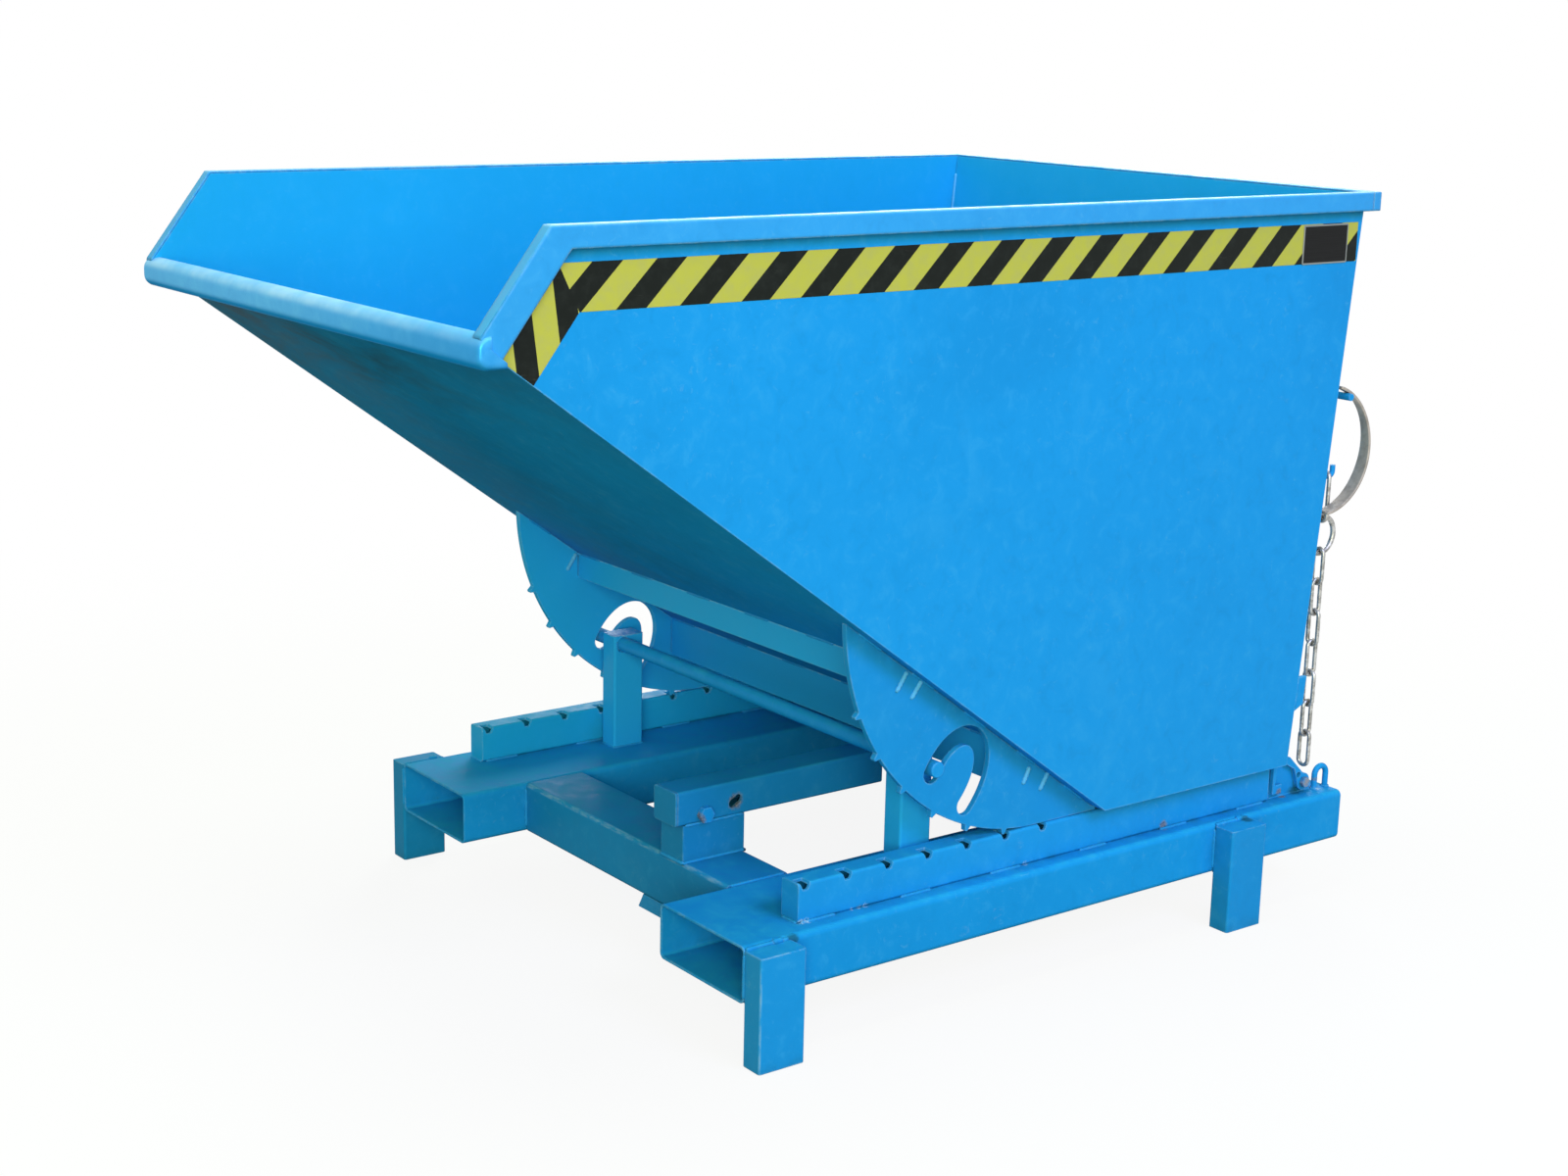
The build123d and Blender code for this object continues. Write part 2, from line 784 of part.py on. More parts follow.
arc_top = slope_meets_arc()
arc_end = math.atan2(roll_start_y - arc_top[0], roll_z - arc_top[1])
arc_low = on_arc(rocker_radius, 0.0)
heel_end = bottom_front + rocker_heel
heel_low = (heel_end, arc_low[1])
slot_upper, slot_lower, slot_start, slot_end = slot_outline()
for side_name, side in sides.items():
    with BuildPart() as rocker:
        rocker_plane, rocker_span = span_on_rail(rocker_inner_x, rocker_outer_x, side)
        with BuildSketch(rocker_plane):
            with BuildLine():
                ThreePointArc(arc_top, on_arc(rocker_radius, arc_end / 2), arc_low)
                Polyline(arc_low, heel_low, (heel_end, tub_bottom), bottom_front_corner, arc_top)
            make_face()
            for arc in tooth_arcs[rear_notches:]:
                with BuildLine():
                    Polyline(*tooth_outline(arc / roll_radius), close=True)
                make_face()
            with BuildLine():
                Spline(*slot_upper)
                ThreePointArc(slot_upper[-1], slot_end, slot_lower[-1])
                Spline(*reversed(slot_lower))
                ThreePointArc(slot_lower[0], slot_start, slot_upper[0])
            make_face(mode=Mode.SUBTRACT)
        extrude(amount=rocker_span)
    save(rocker.part, f"rocker_{side_name}")

# Cross stiffeners between the rockers: angles with an upright leg, closed by the floor
stiffener_sizes = {
    "upper": (upper_stiffener_ahead, upper_stiffener_height),
    "lower": (lower_stiffener_ahead, lower_stiffener_height),
}
stiffener_left_x = rocker_outer_x - rail_spread
for stiffener_name, (ahead, height) in stiffener_sizes.items():
    front = bottom_front - ahead
    low = slope_under(front) - height
    with BuildPart() as stiffener:
        with BuildSketch(Plane.YZ.offset(stiffener_left_x)):
            with BuildLine():
                Polyline(
                    (front, slope_under(front)),
                    (front, low),
                    (slope_over(low), low),
                    (slope_over(low + stiffener_sheet), low + stiffener_sheet),
                    (front + stiffener_sheet, low + stiffener_sheet),
                    (front + stiffener_sheet, slope_under(front + stiffener_sheet)),
                    close=True,
                )
            make_face()
        extrude(amount=rocker_inner_x - stiffener_left_x)
    save(stiffener.part, f"stiffener_{stiffener_name}")

# Warning tape on both side walls, along the rim and down the cheek
tape_top = rim_top - rim_height - tape_drop
tape_low = tape_top - tape_width
tape_line = moved(front_top_corner, cheek_inward, cheek_height + tape_cheek_gap)
tape_inner_line = moved(tape_line, cheek_inward, tape_width)
slope_line = moved(lip_corner, slope_inward, tape_floor_gap)
tape_bend = meet(tape_line, cheek_step, (front_top_y, tape_top), (1.0, 0.0))
tape_bend_low = meet(tape_inner_line, cheek_step, (front_top_y, tape_low), (1.0, 0.0))
tape_foot = meet(tape_line, cheek_step, slope_line, slope_step)
tape_foot_inner = meet(tape_inner_line, cheek_step, slope_line, slope_step)
tape_rear = rear_wall_y(tape_low) - tape_rear_gap
plate_rear = tape_rear - plate_rear_gap
plate_top = rim_top - rim_height - plate_drop
top_tape = [tape_bend, (tape_rear, tape_top), (tape_rear, tape_low), tape_bend_low]
cheek_tape = [tape_bend, tape_bend_low, tape_foot_inner, tape_foot]
for side_name, side in sides.items():
    with BuildPart() as tape:
        tape_plane, tape_span = span_x(tub_half_width, tub_half_width + tape_thickness, side)
        with BuildSketch(tape_plane):
            with BuildLine():
                Polyline(*top_tape, close=True)
            make_face()
            with BuildLine():
                Polyline(*cheek_tape, close=True)
            make_face()
        extrude(amount=tape_span)
    save(tape.part, f"warning_tape_{side_name}")

# Blank plate stuck over the tape near the right rear corner
with BuildPart() as blank_plate:
    with BuildSketch(Plane.YZ.offset(tub_half_width + tape_thickness)):
        with Locations((plate_rear - plate_width / 2, plate_top - plate_height / 2)):
            RectangleRounded(plate_width, plate_height, plate_corner)
    extrude(amount=plate_thickness)
save(blank_plate.part, "blank_plate")

# Lock: a fixed ear, a pawl that turns on a bolt, and a catch on the tub
pawl_outer_x = frame_half_width - lock_inset
pawl_inner_x = pawl_outer_x - pawl_thickness
ear_outer_x = pawl_inner_x - pawl_side_gap
ear_inner_x = ear_outer_x - ear_thickness
pawl_pivot_y = bottom_rear + pawl_pivot_back
pawl_pivot_z = tube_top + pawl_pivot_rise
pawl_nose_y = pawl_pivot_y - pawl_nose_reach
pawl_nose_low = pawl_pivot_z + pawl_nose_rise
pawl_top = pawl_nose_low + pawl_nose_height
ear_top = pawl_pivot_z + ear_rise
with BuildPart() as lock_ear:
    with BuildSketch(Plane.YZ.offset(ear_inner_x)):
        with BuildLine():
            Polyline(
                (pawl_pivot_y - ear_foot_ahead, tube_top),
                (pawl_pivot_y + ear_foot_back, tube_top),
                (pawl_pivot_y - ear_top_ahead + ear_top_length, ear_top),
                (pawl_pivot_y - ear_top_ahead, ear_top),
                close=True,
            )
        make_face()
        with Locations((pawl_pivot_y, pawl_pivot_z)):
            Circle(lock_bolt_radius + bolt_fit, mode=Mode.SUBTRACT)
    extrude(amount=ear_thickness)
save(lock_ear.part, "lock_ear")

with BuildPart() as lock_pawl:
    with BuildSketch(Plane.YZ.offset(pawl_inner_x)):
        with BuildLine():
            Polyline(
                (pawl_pivot_y - pawl_hub, pawl_pivot_z),
                (pawl_pivot_y - pawl_throat_reach, pawl_pivot_z + pawl_throat_rise),
                (pawl_nose_y, pawl_nose_low),
                (pawl_nose_y, pawl_top),
                (pawl_nose_y + pawl_top_length, pawl_top),
                (pawl_pivot_y + pawl_hub, pawl_pivot_z),
                close=True,
            )
        make_face()
        with Locations((pawl_pivot_y, pawl_pivot_z)):
            Circle(pawl_hub)
            Circle(lock_bolt_radius + bolt_fit, mode=Mode.SUBTRACT)
        with Locations((pawl_pivot_y - pull_hole_ahead, pawl_pivot_z + pull_hole_rise)):
            Circle(pull_hole_radius, mode=Mode.SUBTRACT)
    extrude(amount=pawl_thickness)
save(lock_pawl.part, "lock_pawl")

with BuildPart() as lock_bolt:
    with BuildSketch(Plane.YZ.offset(ear_inner_x - lock_nut_height)):
        with Locations((pawl_pivot_y, pawl_pivot_z)):
            Circle(lock_bolt_radius)
    extrude(amount=lock_nut_height + ear_thickness + pawl_thickness + 2 * pawl_side_gap)
    with BuildSketch(Plane.YZ.offset(pawl_outer_x + pawl_side_gap)):
        with Locations((pawl_pivot_y, pawl_pivot_z)):
            RegularPolygon(lock_bolt_flats / 2, 6, major_radius=False)
    extrude(amount=lock_head_height)
save(lock_bolt.part, "lock_bolt")

with BuildPart() as lock_nut:
    with BuildSketch(Plane.YZ.offset(ear_inner_x - lock_nut_height)):
        with Locations((pawl_pivot_y, pawl_pivot_z)):
            RegularPolygon(lock_bolt_flats / 2, 6, major_radius=False)
            Circle(lock_bolt_radius, mode=Mode.SUBTRACT)
    extrude(amount=lock_nut_height)
save(lock_nut.part, "lock_nut")

catch_reach = pawl_nose_y - catch_gap
catch_low = tube_top + catch_rise
catch_high = catch_low + catch_height
catch_plate_top = tub_bottom + catch_plate_height
with BuildPart() as lock_catch:
    with BuildSketch(Plane.YZ.offset(pawl_inner_x)):
        with BuildLine():
            Polyline(
                bottom_rear_corner,
                (bottom_rear, catch_low),
                (catch_reach, catch_low),
                (catch_reach, catch_high),
                (bottom_rear + catch_plate_depth, catch_high),
                (rear_wall_y(catch_plate_top) + catch_plate_depth, catch_plate_top),
                (rear_wall_y(catch_plate_top), catch_plate_top),
                close=True,
            )
        make_face()
    extrude(amount=pawl_thickness)
save(lock_catch.part, "lock_catch")

# Tab on the rear wall beside the chain, with a slanted lower edge
tab_low = tub_bottom + tab_above_bottom
tab_high = tab_low + tab_height
tab_outer_low = tab_low + tab_slant
with BuildPart() as wall_tab:
    with BuildSketch(Plane.YZ.offset(tub_half_width - tab_thickness)):
        with BuildLine():
            Polyline(
                (rear_wall_y(tab_low), tab_low),
                (rear_wall_y(tab_outer_low) + tab_depth, tab_outer_low),
                (rear_wall_y(tab_high) + tab_depth, tab_high),
                (rear_wall_y(tab_high), tab_high),
                close=True,
            )
        make_face()
    extrude(amount=tab_thickness)
save(wall_tab.part, "wall_tab")

# Securing eye bent from round bar
eye_x = frame_half_width - eye_inset
eye_y = tube_rear - eye_end_gap
eye_top_z = tube_top + eye_leg
with BuildPart() as securing_eye:
    with BuildLine() as eye_path:
        Line((eye_x, eye_y - eye_radius, tube_top), (eye_x, eye_y - eye_radius, eye_top_z))
        ThreePointArc(
            (eye_x, eye_y - eye_radius, eye_top_z),
            (eye_x, eye_y, eye_top_z + eye_radius),
            (eye_x, eye_y + eye_radius, eye_top_z),
        )
        Line((eye_x, eye_y + eye_radius, eye_top_z), (eye_x, eye_y + eye_radius, tube_top))
    with BuildSketch(Plane.XY.offset(tube_top)):
        with Locations((eye_x, eye_y - eye_radius)):
            Circle(eye_bar / 2)
    sweep(path=eye_path.line)
save(securing_eye.part, "securing_eye")

# Chain line: what hangs where, from the hook down to just above the pawl
chain_link_span = chain_pitch + chain_wire
link_advance = chain_pitch - chain_gap
hook_seat = (hook_bar + chain_wire) / 2 + chain_gap
ring_seat = (ring_wire + chain_wire) / 2 + chain_gap
ring_drop = hook_link_pitch + chain_wire - hook_seat - ring_seat + ring_radius
first_link_drop = ring_drop + ring_radius - ring_seat
chain_drop = first_link_drop + link_advance * (chain_links - 1) + chain_link_span + chain_wire / 2
hook_z = pawl_pivot_z + chain_end_rise + chain_drop
ring_middle = hook_z - ring_drop
chain_x = (pawl_inner_x + pawl_outer_x) / 2
chain_y = rear_wall_y(ring_middle) + ring_radius + ring_wire / 2 + ring_wall_gap


def rear_face(z):
    """Give the plane of the rear wall's outer face, at a height."""
    return Plane(origin=(0, rear_wall_y(z), z), z_dir=(0, rear_step[1], -rear_step[0]))


# Wall hook: a bar out of the rear wall, turned up at its end
hook_root = rear_wall_y(hook_z)
hook_end = chain_y + hook_beyond_chain + hook_bend
with BuildPart() as wall_hook:
    with BuildLine() as hook_path:
        FilletPolyline(
            (chain_x, hook_root, hook_z),
            (chain_x, hook_end, hook_z),
            (chain_x, hook_end, hook_z + hook_rise),
            radius=hook_bend,
        )
    with BuildSketch(Plane.XZ.offset(-hook_root)):
        with Locations((chain_x, hook_z)):
            Circle(hook_bar / 2)
    sweep(path=hook_path.line)
    with BuildSketch(Plane.YZ.offset(chain_x - hook_bar / 2)):
        with BuildLine():
            Polyline(
                (rear_wall_y(hook_z - hook_bar / 2), hook_z - hook_bar / 2),
                (hook_root + hook_bar, hook_z - hook_bar / 2),
                (hook_root + hook_bar, hook_z + hook_bar / 2),
                (rear_wall_y(hook_z + hook_bar / 2), hook_z + hook_bar / 2),
                close=True,
            )
        make_face()
    extrude(amount=hook_bar)
    split(bisect_by=rear_face(hook_z), keep=Keep.TOP)
save(wall_hook.part, "wall_hook")


def chain_link(top_bow, across, pitch):
    """Bend one chain link below its top bow's centre, lying across or along X."""
    half = (chain_inner_width + chain_wire) / 2
    reach = (half, 0.0) if across else (0.0, half)
    low_bow = top_bow - pitch - chain_wire
    high_arc = top_bow - half
    low_arc = low_bow + half
    left = (chain_x - reach[0], chain_y - reach[1])
    right = (chain_x + reach[0], chain_y + reach[1])
    middle = (chain_x, chain_y)
    with BuildPart() as link:
        with BuildLine() as link_path:
            Line((*left, low_arc), (*left, high_arc))
            ThreePointArc((*left, high_arc), (*middle, top_bow), (*right, high_arc))
            Line((*right, high_arc), (*right, low_arc))
            ThreePointArc((*right, low_arc), (*middle, low_bow), (*left, low_arc))
        with BuildSketch(Plane.XY.offset(low_arc)):
            with Locations(left):
                Circle(chain_wire / 2)
        sweep(path=link_path.line)
    return link.part


# Chain: a long link on the hook, the ring, and the links below the ring
save(chain_link(hook_z + hook_seat, True, hook_link_pitch), "hook_link")

with BuildPart() as chain_ring:
    with BuildSketch(Plane.XY.offset(ring_middle)):
        with Locations((chain_x, chain_y + ring_radius)):
            Circle(ring_wire / 2)
    revolve(axis=Axis((chain_x, chain_y, ring_middle), (1, 0, 0)))
save(chain_ring.part, "chain_ring")

link_tops = [hook_z - first_link_drop - link_advance * i for i in range(chain_links)]
chain = Compound(children=[chain_link(top, i % 2 == 0, chain_pitch) for i, top in enumerate(link_tops)])
save(chain, "pull_chain")

# Staple on the rear wall and the flat-strip handle that hangs on it
handle_inner_x = chain_x + chain_inner_width / 2 + chain_wire + handle_side_gap
handle_outer_x = handle_inner_x + handle_width
handle_middle_z = hook_z + handle_above_hook
staple_reach = handle_strip + staple_bar / 2 + staple_gap
handle_back = rear_wall_y(handle_middle_z + handle_half_height) + handle_wall_gap
handle_rear = handle_back + handle_depth
bow_radius = (handle_half_height**2 + handle_depth**2) / (2 * handle_depth)
bow_y = handle_rear - bow_radius
staple_y = handle_back + staple_reach
staple_rise = math.sqrt((bow_radius - staple_reach) ** 2 - (staple_y - bow_y) ** 2)
staple_z = handle_middle_z + staple_rise


def strip_points(inset):
    """Give the points of the handle's outline as a whole D, set in from its outer face."""
    bend = staple_reach - inset
    toward = unit((bow_y, handle_middle_z), (staple_y, staple_z))
    halfway = unit((0.0, 0.0), (toward[0] - 1.0, toward[1]))
    back = handle_back + inset
    bow_end = moved((staple_y, staple_z), toward, bend)
    corner = moved((staple_y, staple_z), halfway, bend)
    high = [(back, staple_z), corner, bow_end]
    low = [(y, 2 * handle_middle_z - z) for y, z in high]
    return high, low, (handle_rear - inset, handle_middle_z)


with BuildPart() as pull_handle:
    with BuildSketch(Plane.YZ.offset(handle_inner_x)):
        for inset, mode in ((0.0, Mode.ADD), (handle_strip, Mode.SUBTRACT)):
            high, low, bow_middle = strip_points(inset)
            with BuildLine():
                Line(low[0], high[0])
                ThreePointArc(*high)
                ThreePointArc(high[2], bow_middle, low[2])
                ThreePointArc(*reversed(low))
            make_face(mode=mode)
        with Locations((handle_back, handle_middle_z)):
            Rectangle(4 * handle_strip, 2 * (staple_rise - handle_return), mode=Mode.SUBTRACT)
    extrude(amount=handle_width)
save(pull_handle.part, "pull_handle")

staple_low_x = handle_inner_x - staple_overrun - staple_bar / 2
staple_high_x = handle_outer_x + staple_gap
staple_root = rear_wall_y(staple_z)
with BuildPart() as handle_staple:
    with BuildSketch(Plane.YZ.offset(staple_low_x - staple_bar / 2)):
        with Locations((staple_y, staple_z)):
            Circle(staple_bar / 2)
    extrude(amount=staple_high_x - staple_low_x + staple_bar / 2)
    with BuildSketch(Plane.XY.offset(staple_z - staple_bar / 2)):
        with BuildLine():
            Polyline(
                (staple_low_x - staple_bar / 2, staple_root - staple_bar),
                (staple_low_x + staple_bar / 2, staple_root - staple_bar),
                (staple_low_x + staple_bar / 2, staple_y),
                (staple_low_x - staple_bar / 2, staple_y),
                close=True,
            )
        make_face()
    extrude(amount=staple_bar)
    split(bisect_by=rear_face(staple_z), keep=Keep.TOP)
save(handle_staple.part, "handle_staple")
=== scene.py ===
import math
import random
from collections import namedtuple

import bpy
from mathutils import Matrix, Vector


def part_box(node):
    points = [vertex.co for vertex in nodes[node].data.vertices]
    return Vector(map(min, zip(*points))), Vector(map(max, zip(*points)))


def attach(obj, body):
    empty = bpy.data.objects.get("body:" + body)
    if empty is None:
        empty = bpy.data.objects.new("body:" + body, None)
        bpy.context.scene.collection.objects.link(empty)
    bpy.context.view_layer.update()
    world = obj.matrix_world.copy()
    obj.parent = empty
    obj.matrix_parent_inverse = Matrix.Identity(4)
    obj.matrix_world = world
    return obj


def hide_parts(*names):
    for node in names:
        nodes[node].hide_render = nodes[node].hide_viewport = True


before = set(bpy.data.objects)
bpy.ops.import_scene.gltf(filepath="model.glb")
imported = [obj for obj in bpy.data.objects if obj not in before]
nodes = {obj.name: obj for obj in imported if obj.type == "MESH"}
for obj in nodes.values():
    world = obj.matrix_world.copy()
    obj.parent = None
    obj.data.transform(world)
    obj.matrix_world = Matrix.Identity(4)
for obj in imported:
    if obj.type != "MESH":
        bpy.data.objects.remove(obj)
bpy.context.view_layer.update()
scene = bpy.context.scene
scene.view_settings.view_transform = "Standard"

# Colours, linear
WHITE = (1.0, 1.0, 1.0)
PAINT = (0.0105, 0.318, 0.830)
PAINT_DEEP = (0.0085, 0.272, 0.720)
PAINT_PALE = (0.040, 0.385, 0.850)
# Lighter copies of the paint: painted light
PAINTED_LIGHT_CYAN = (0.0125, 0.440, 0.820)
PAINTED_LIGHT_BLUE = (0.020, 0.440, 0.960)
FLECK = (0.075, 0.395, 0.810)
PRIMER = (0.330, 0.560, 0.740)
PALE_MARK = (0.560, 0.700, 0.800)
# Pale blue of a painted highlight
HIGHLIGHT_PALE = (0.200, 0.660, 1.000)
LIP_SHEEN = (0.25, 0.65, 1.0)
# Painted highlight and painted shade on rolled edges
ROLLED_HIGHLIGHT = (0.420, 0.740, 1.000)
ROLLED_SHADE = (0.008, 0.200, 0.450)
# Dust, and painted light on upward faces
DUST_AND_TOP_LIGHT = (0.024, 0.480, 0.740)
# Dark teal: dirt at chips and tape edges, and painted shade in corners and on shaded parts
GRIME_AND_SHADE = (0.012, 0.085, 0.115)
SOIL = (0.040, 0.062, 0.055)
SOIL_PALE = (0.165, 0.125, 0.092)
RUST = (0.340, 0.260, 0.195)
RUST_DARK = (0.040, 0.020, 0.015)
YELLOW = (0.500, 0.500, 0.080)
YELLOW_WORN = (0.470, 0.470, 0.110)
BLACK = (0.0085, 0.0112, 0.0098)
BLACK_WORN = (0.020, 0.024, 0.022)
TAPE_SCUFF = (0.22, 0.23, 0.20)
ZINC = (0.620, 0.615, 0.600)
ZINC_DARK = (0.270, 0.260, 0.245)
# Painted highlight on metal edges
METAL_EDGE_HIGHLIGHT = (0.66, 0.65, 0.62)
HANDLE_PALE = (0.470, 0.410, 0.375)
HANDLE_DARK = (0.310, 0.272, 0.250)
FASTENER_BARE = (0.300, 0.290, 0.330)
FASTENER_PAINTED = (0.040, 0.290, 0.620)
PLATE = (0.0055, 0.0060, 0.0066)
PLATE_BRUSHED = (0.014, 0.015, 0.016)
PLATE_RUBBED = (0.060, 0.060, 0.060)
PLATE_LINE = (0.36, 0.37, 0.38)
PLATE_EDGE = (0.55, 0.55, 0.54)
FLOOR_PALE = (0.86, 0.86, 0.85)
FLOOR_BOUNCE = (0.29, 0.29, 0.20)
ROOM_LIGHT = (0.84, 1.0, 0.67)
ROOM_STRENGTH = 0.40

# Camera, fitted to the photograph
CAMERA_PLACE = (2.988, -2.254, 1.447)
CAMERA_AZIMUTH = 52.79
CAMERA_ELEVATION = 13.65
CAMERA_ROLL = 1.29
CAMERA_LENS = 54.34
SENSOR = 36.0

# Blank plate: its middle, half its size, and the bright line along its edge, in metres
PLATE_MIDDLE = (0.0, 0.6975, 1.111)
PLATE_HALF = (0.0525, 0.031)
PLATE_MARGIN = 0.0030
PLATE_LINE_SOFT = 0.0008

# Stripes of the warning tape, in metres, and the softness of their borders as a share
STRIPE_PERIOD = 0.0972
STRIPE_BLACK = 0.0465
STRIPE_START = 1.7910
STRIPE_SOFT = 0.006
CHEEK_PERIOD = 0.0935
CHEEK_START = 0.0455
CHEEK_CORNER = (-0.740, 1.191)
CHEEK_STEP = (-0.606, -0.7955)
CHEEK_INWARD = (0.7955, -0.606)
BEND_HIGH = (-0.7200, 1.143)
BEND_LOW = (-0.6893, 1.081)

# Places on the object that show rust, rubbed paint or painted shadow: point and radius, in metres
RUST_SPOTS = [
    ((0.470, 0.439, 0.184), 0.0075),
    ((0.175, -0.203, 0.261), 0.012),
    ((0.469, 0.716, 0.189), 0.0065),
    ((0.466, 0.727, 0.178), 0.0060),
    ((0.466, 0.808, 0.196), 0.0050),
]
BOLT_RUST = [((0.185, -0.276, 0.246), 0.009), ((0.176, -0.277, 0.2515), 0.008)]
PALE_SPOTS = [
    ((0.470, -0.299, 0.179), 0.0045),
    ((0.470, -0.288, 0.179), 0.0050),
    ((0.470, -0.205, 0.179), 0.0030),
    ((0.470, -0.191, 0.179), 0.0035),
    ((0.470, -0.179, 0.179), 0.0042),
    ((0.470, 0.137, 0.179), 0.0045),
    ((0.474, 0.812, 0.178), 0.0070),
]
# Dark spots of painted shadow, where gaps between parts lie in shade
SHADOW_SPOTS = [
    ((0.4995, -0.334, 0.172), 0.0090),
    ((0.5080, 0.596, 0.175), 0.0095),
    ((0.4620, 0.760, 0.178), 0.0100),
]
MARKS = {"pale": PALE_SPOTS, "painted_shadows": SHADOW_SPOTS}
SPOTS = {"rust": RUST_SPOTS, **MARKS}

# Edges that are rubbed along their length: axis, point on the line and radius, in metres
BEAM_LINES = [(0, (0.0, -0.2985, 0.1755), 0.0052)]
LEG_LINES = [(2, (0.540, -0.420, 0.0), 0.0036), (2, (0.540, -0.340, 0.0), 0.0032)]
TUBE_LINES = [(2, (0.2905, -0.4195, 0.0), 0.0036), (2, (0.4995, -0.4195, 0.0), 0.0036)]

# The flush plugs in the side walls, whose outline shows no wear, in metres
PLUG_PLACE = (0.0, 0.155, 0.620)
PLUG_CLEAR = 0.018

# Places along X between which a look changes, in metres: painted highlights, then soil
HIGHLIGHT_RANGE = (0.54, -0.20)
CROWN_RANGE = (0.54, 0.0)
SOIL_RANGE = (0.30, -0.20)
EARTH_RANGE = (-0.06, -0.36)

# A painted highlight on an upper side and painted shade under it: its strength, the tilts where
# it begins and is full, and its share at +X
Crown = namedtuple("Crown", "strength low high least")

# Soil on an underside: the heights where it begins and is full, in metres, and its strength
Soil = namedtuple("Soil", "low high strength")


class Tree:
    """Short ways to add shader nodes to one material or world."""

    def __init__(self, tree):
        self.tree = tree
        self.tree.nodes.clear()

    def add(self, kind, **settings):
        made = self.tree.nodes.new(kind)
        for name, value in settings.items():
            setattr(made, name, value)
        return made

    def feed(self, socket, value):
        if isinstance(value, bpy.types.NodeSocket):
            self.tree.links.new(value, socket)
        elif value is not None:
            if isinstance(value, tuple) and socket.type == "RGBA" and len(value) == 3:
                value = (*value, 1.0)
            socket.default_value = value

    def math(self, operation, a, b=None, clamp=False):
        made = self.add("ShaderNodeMath", operation=operation, use_clamp=clamp)
        self.feed(made.inputs[0], a)
        self.feed(made.inputs[1], b)
        return made.outputs[0]

    def vector(self, operation, a, b=None):
        made = self.add("ShaderNodeVectorMath", operation=operation)
        self.feed(made.inputs[0], a)
        self.feed(made.inputs[1], b)
        one_number = operation in ("DOT_PRODUCT", "LENGTH", "DISTANCE")
        return made.outputs["Value" if one_number else "Vector"]

    def ramp(self, value, low, high, to_low=0.0, to_high=1.0):
        made = self.add("ShaderNodeMapRange", interpolation_type="SMOOTHSTEP")
        for socket, number in zip(made.inputs, (value, low, high, to_low, to_high)):
            self.feed(socket, number)
        return made.outputs[0]

    def mix(self, factor, a, b):
        made = self.add("ShaderNodeMix", data_type="RGBA")
        self.feed(made.inputs[0], factor)
        self.feed(made.inputs[6], a)
        self.feed(made.inputs[7], b)
        return made.outputs[2]

    def noise(self, where, scale, detail=2.0, rough=0.5, twist=0.0):
        made = self.add("ShaderNodeTexNoise")
        self.feed(made.inputs["Vector"], where)
        self.feed(made.inputs["Scale"], scale)
        self.feed(made.inputs["Detail"], detail)
        self.feed(made.inputs["Roughness"], rough)
        self.feed(made.inputs["Distortion"], twist)
        return made.outputs[0]

    def split(self, where):
        made = self.add("ShaderNodeSeparateXYZ")
        self.feed(made.inputs[0], where)
        return made.outputs

    def place(self):
        return self.add("ShaderNodeTexCoord").outputs["Object"]

    def stretch(self, where, scale, turn=(0.0, 0.0, 0.0)):
        made = self.add("ShaderNodeMapping")
        self.feed(made.inputs["Vector"], where)
        self.feed(made.inputs["Rotation"], turn)
        self.feed(made.inputs["Scale"], scale)
        return made.outputs[0]

    def bump(self, height, strength, distance, after=None):
        made = self.add("ShaderNodeBump")
        self.feed(made.inputs["Strength"], strength)
        self.feed(made.inputs["Distance"], distance)
        self.feed(made.inputs["Height"], height)
        self.feed(made.inputs["Normal"], after)
        return made.outputs[0]

    def edges(self, radius, low, high):
        """Give 1 at edges and corners, and 0 on flat places."""
        rounded = self.add("ShaderNodeBevel", samples=4)
        self.feed(rounded.inputs["Radius"], radius)
        plain = self.add("ShaderNodeNewGeometry")
        same = self.vector("DOT_PRODUCT", rounded.outputs[0], plain.outputs["Normal"])
        return self.ramp(self.math("SUBTRACT", 1.0, same), low, high)

    def facing(self):
        """Give a face's direction in the piece's own frame, which moves with the piece."""
        return self.add("ShaderNodeTexCoord").outputs["Normal"]

    def upward(self, low, high):
        """Give 1 on faces that look up."""
        return self.ramp(self.split(self.facing())[2], low, high)

    def crevices(self, reach, low, high):
        """Give 1 in corners that little light gets into."""
        made = self.add("ShaderNodeAmbientOcclusion", samples=4)
        self.feed(made.inputs["Distance"], reach)
        return self.ramp(made.outputs["AO"], high, low)

    def near(self, where, point, radius, soft):
        """Give 1 within a radius of a point, with a ragged border."""
        ragged = self.math("SUBTRACT", self.noise(where, 160.0, detail=3.0), 0.5)
        ragged = self.math("MULTIPLY", ragged, 2.2 * soft)
        far = self.math("ADD", self.vector("DISTANCE", where, point), ragged)
        return self.ramp(far, radius + soft, radius - soft)

    def shader(self, kind, **values):
        """Add a shader with its values, and give its output."""
        made = self.add(kind)
        for name, value in values.items():
            self.feed(made.inputs[name.replace("_", " ")], value)
        return made.outputs[0]

    def blend(self, factor, a, b):
        """Mix two shaders."""
        made = self.add("ShaderNodeMixShader")
        for socket, value in zip(made.inputs, (factor, a, b)):
            self.feed(socket, value)
        return made.outputs[0]

    def show(self, shader, output="ShaderNodeOutputMaterial"):
        """Lead a shader to the output."""
        self.feed(self.add(output).inputs["Surface"], shader)

    def surface(self, **values):
        self.show(self.shader("ShaderNodeBsdfPrincipled", **values))


def new_material(name):
    material = bpy.data.materials.new(name)
    material.use_nodes = True
    return material, Tree(material.node_tree)


def any_near(t, where, spots, soft):
    """Give 1 near any of the spots, with borders as soft as a share of their radius."""
    total = None
    for point, radius in spots:
        mask = t.near(where, point, radius, radius * soft)
        total = mask if total is None else t.math("MAXIMUM", total, mask)
    return total


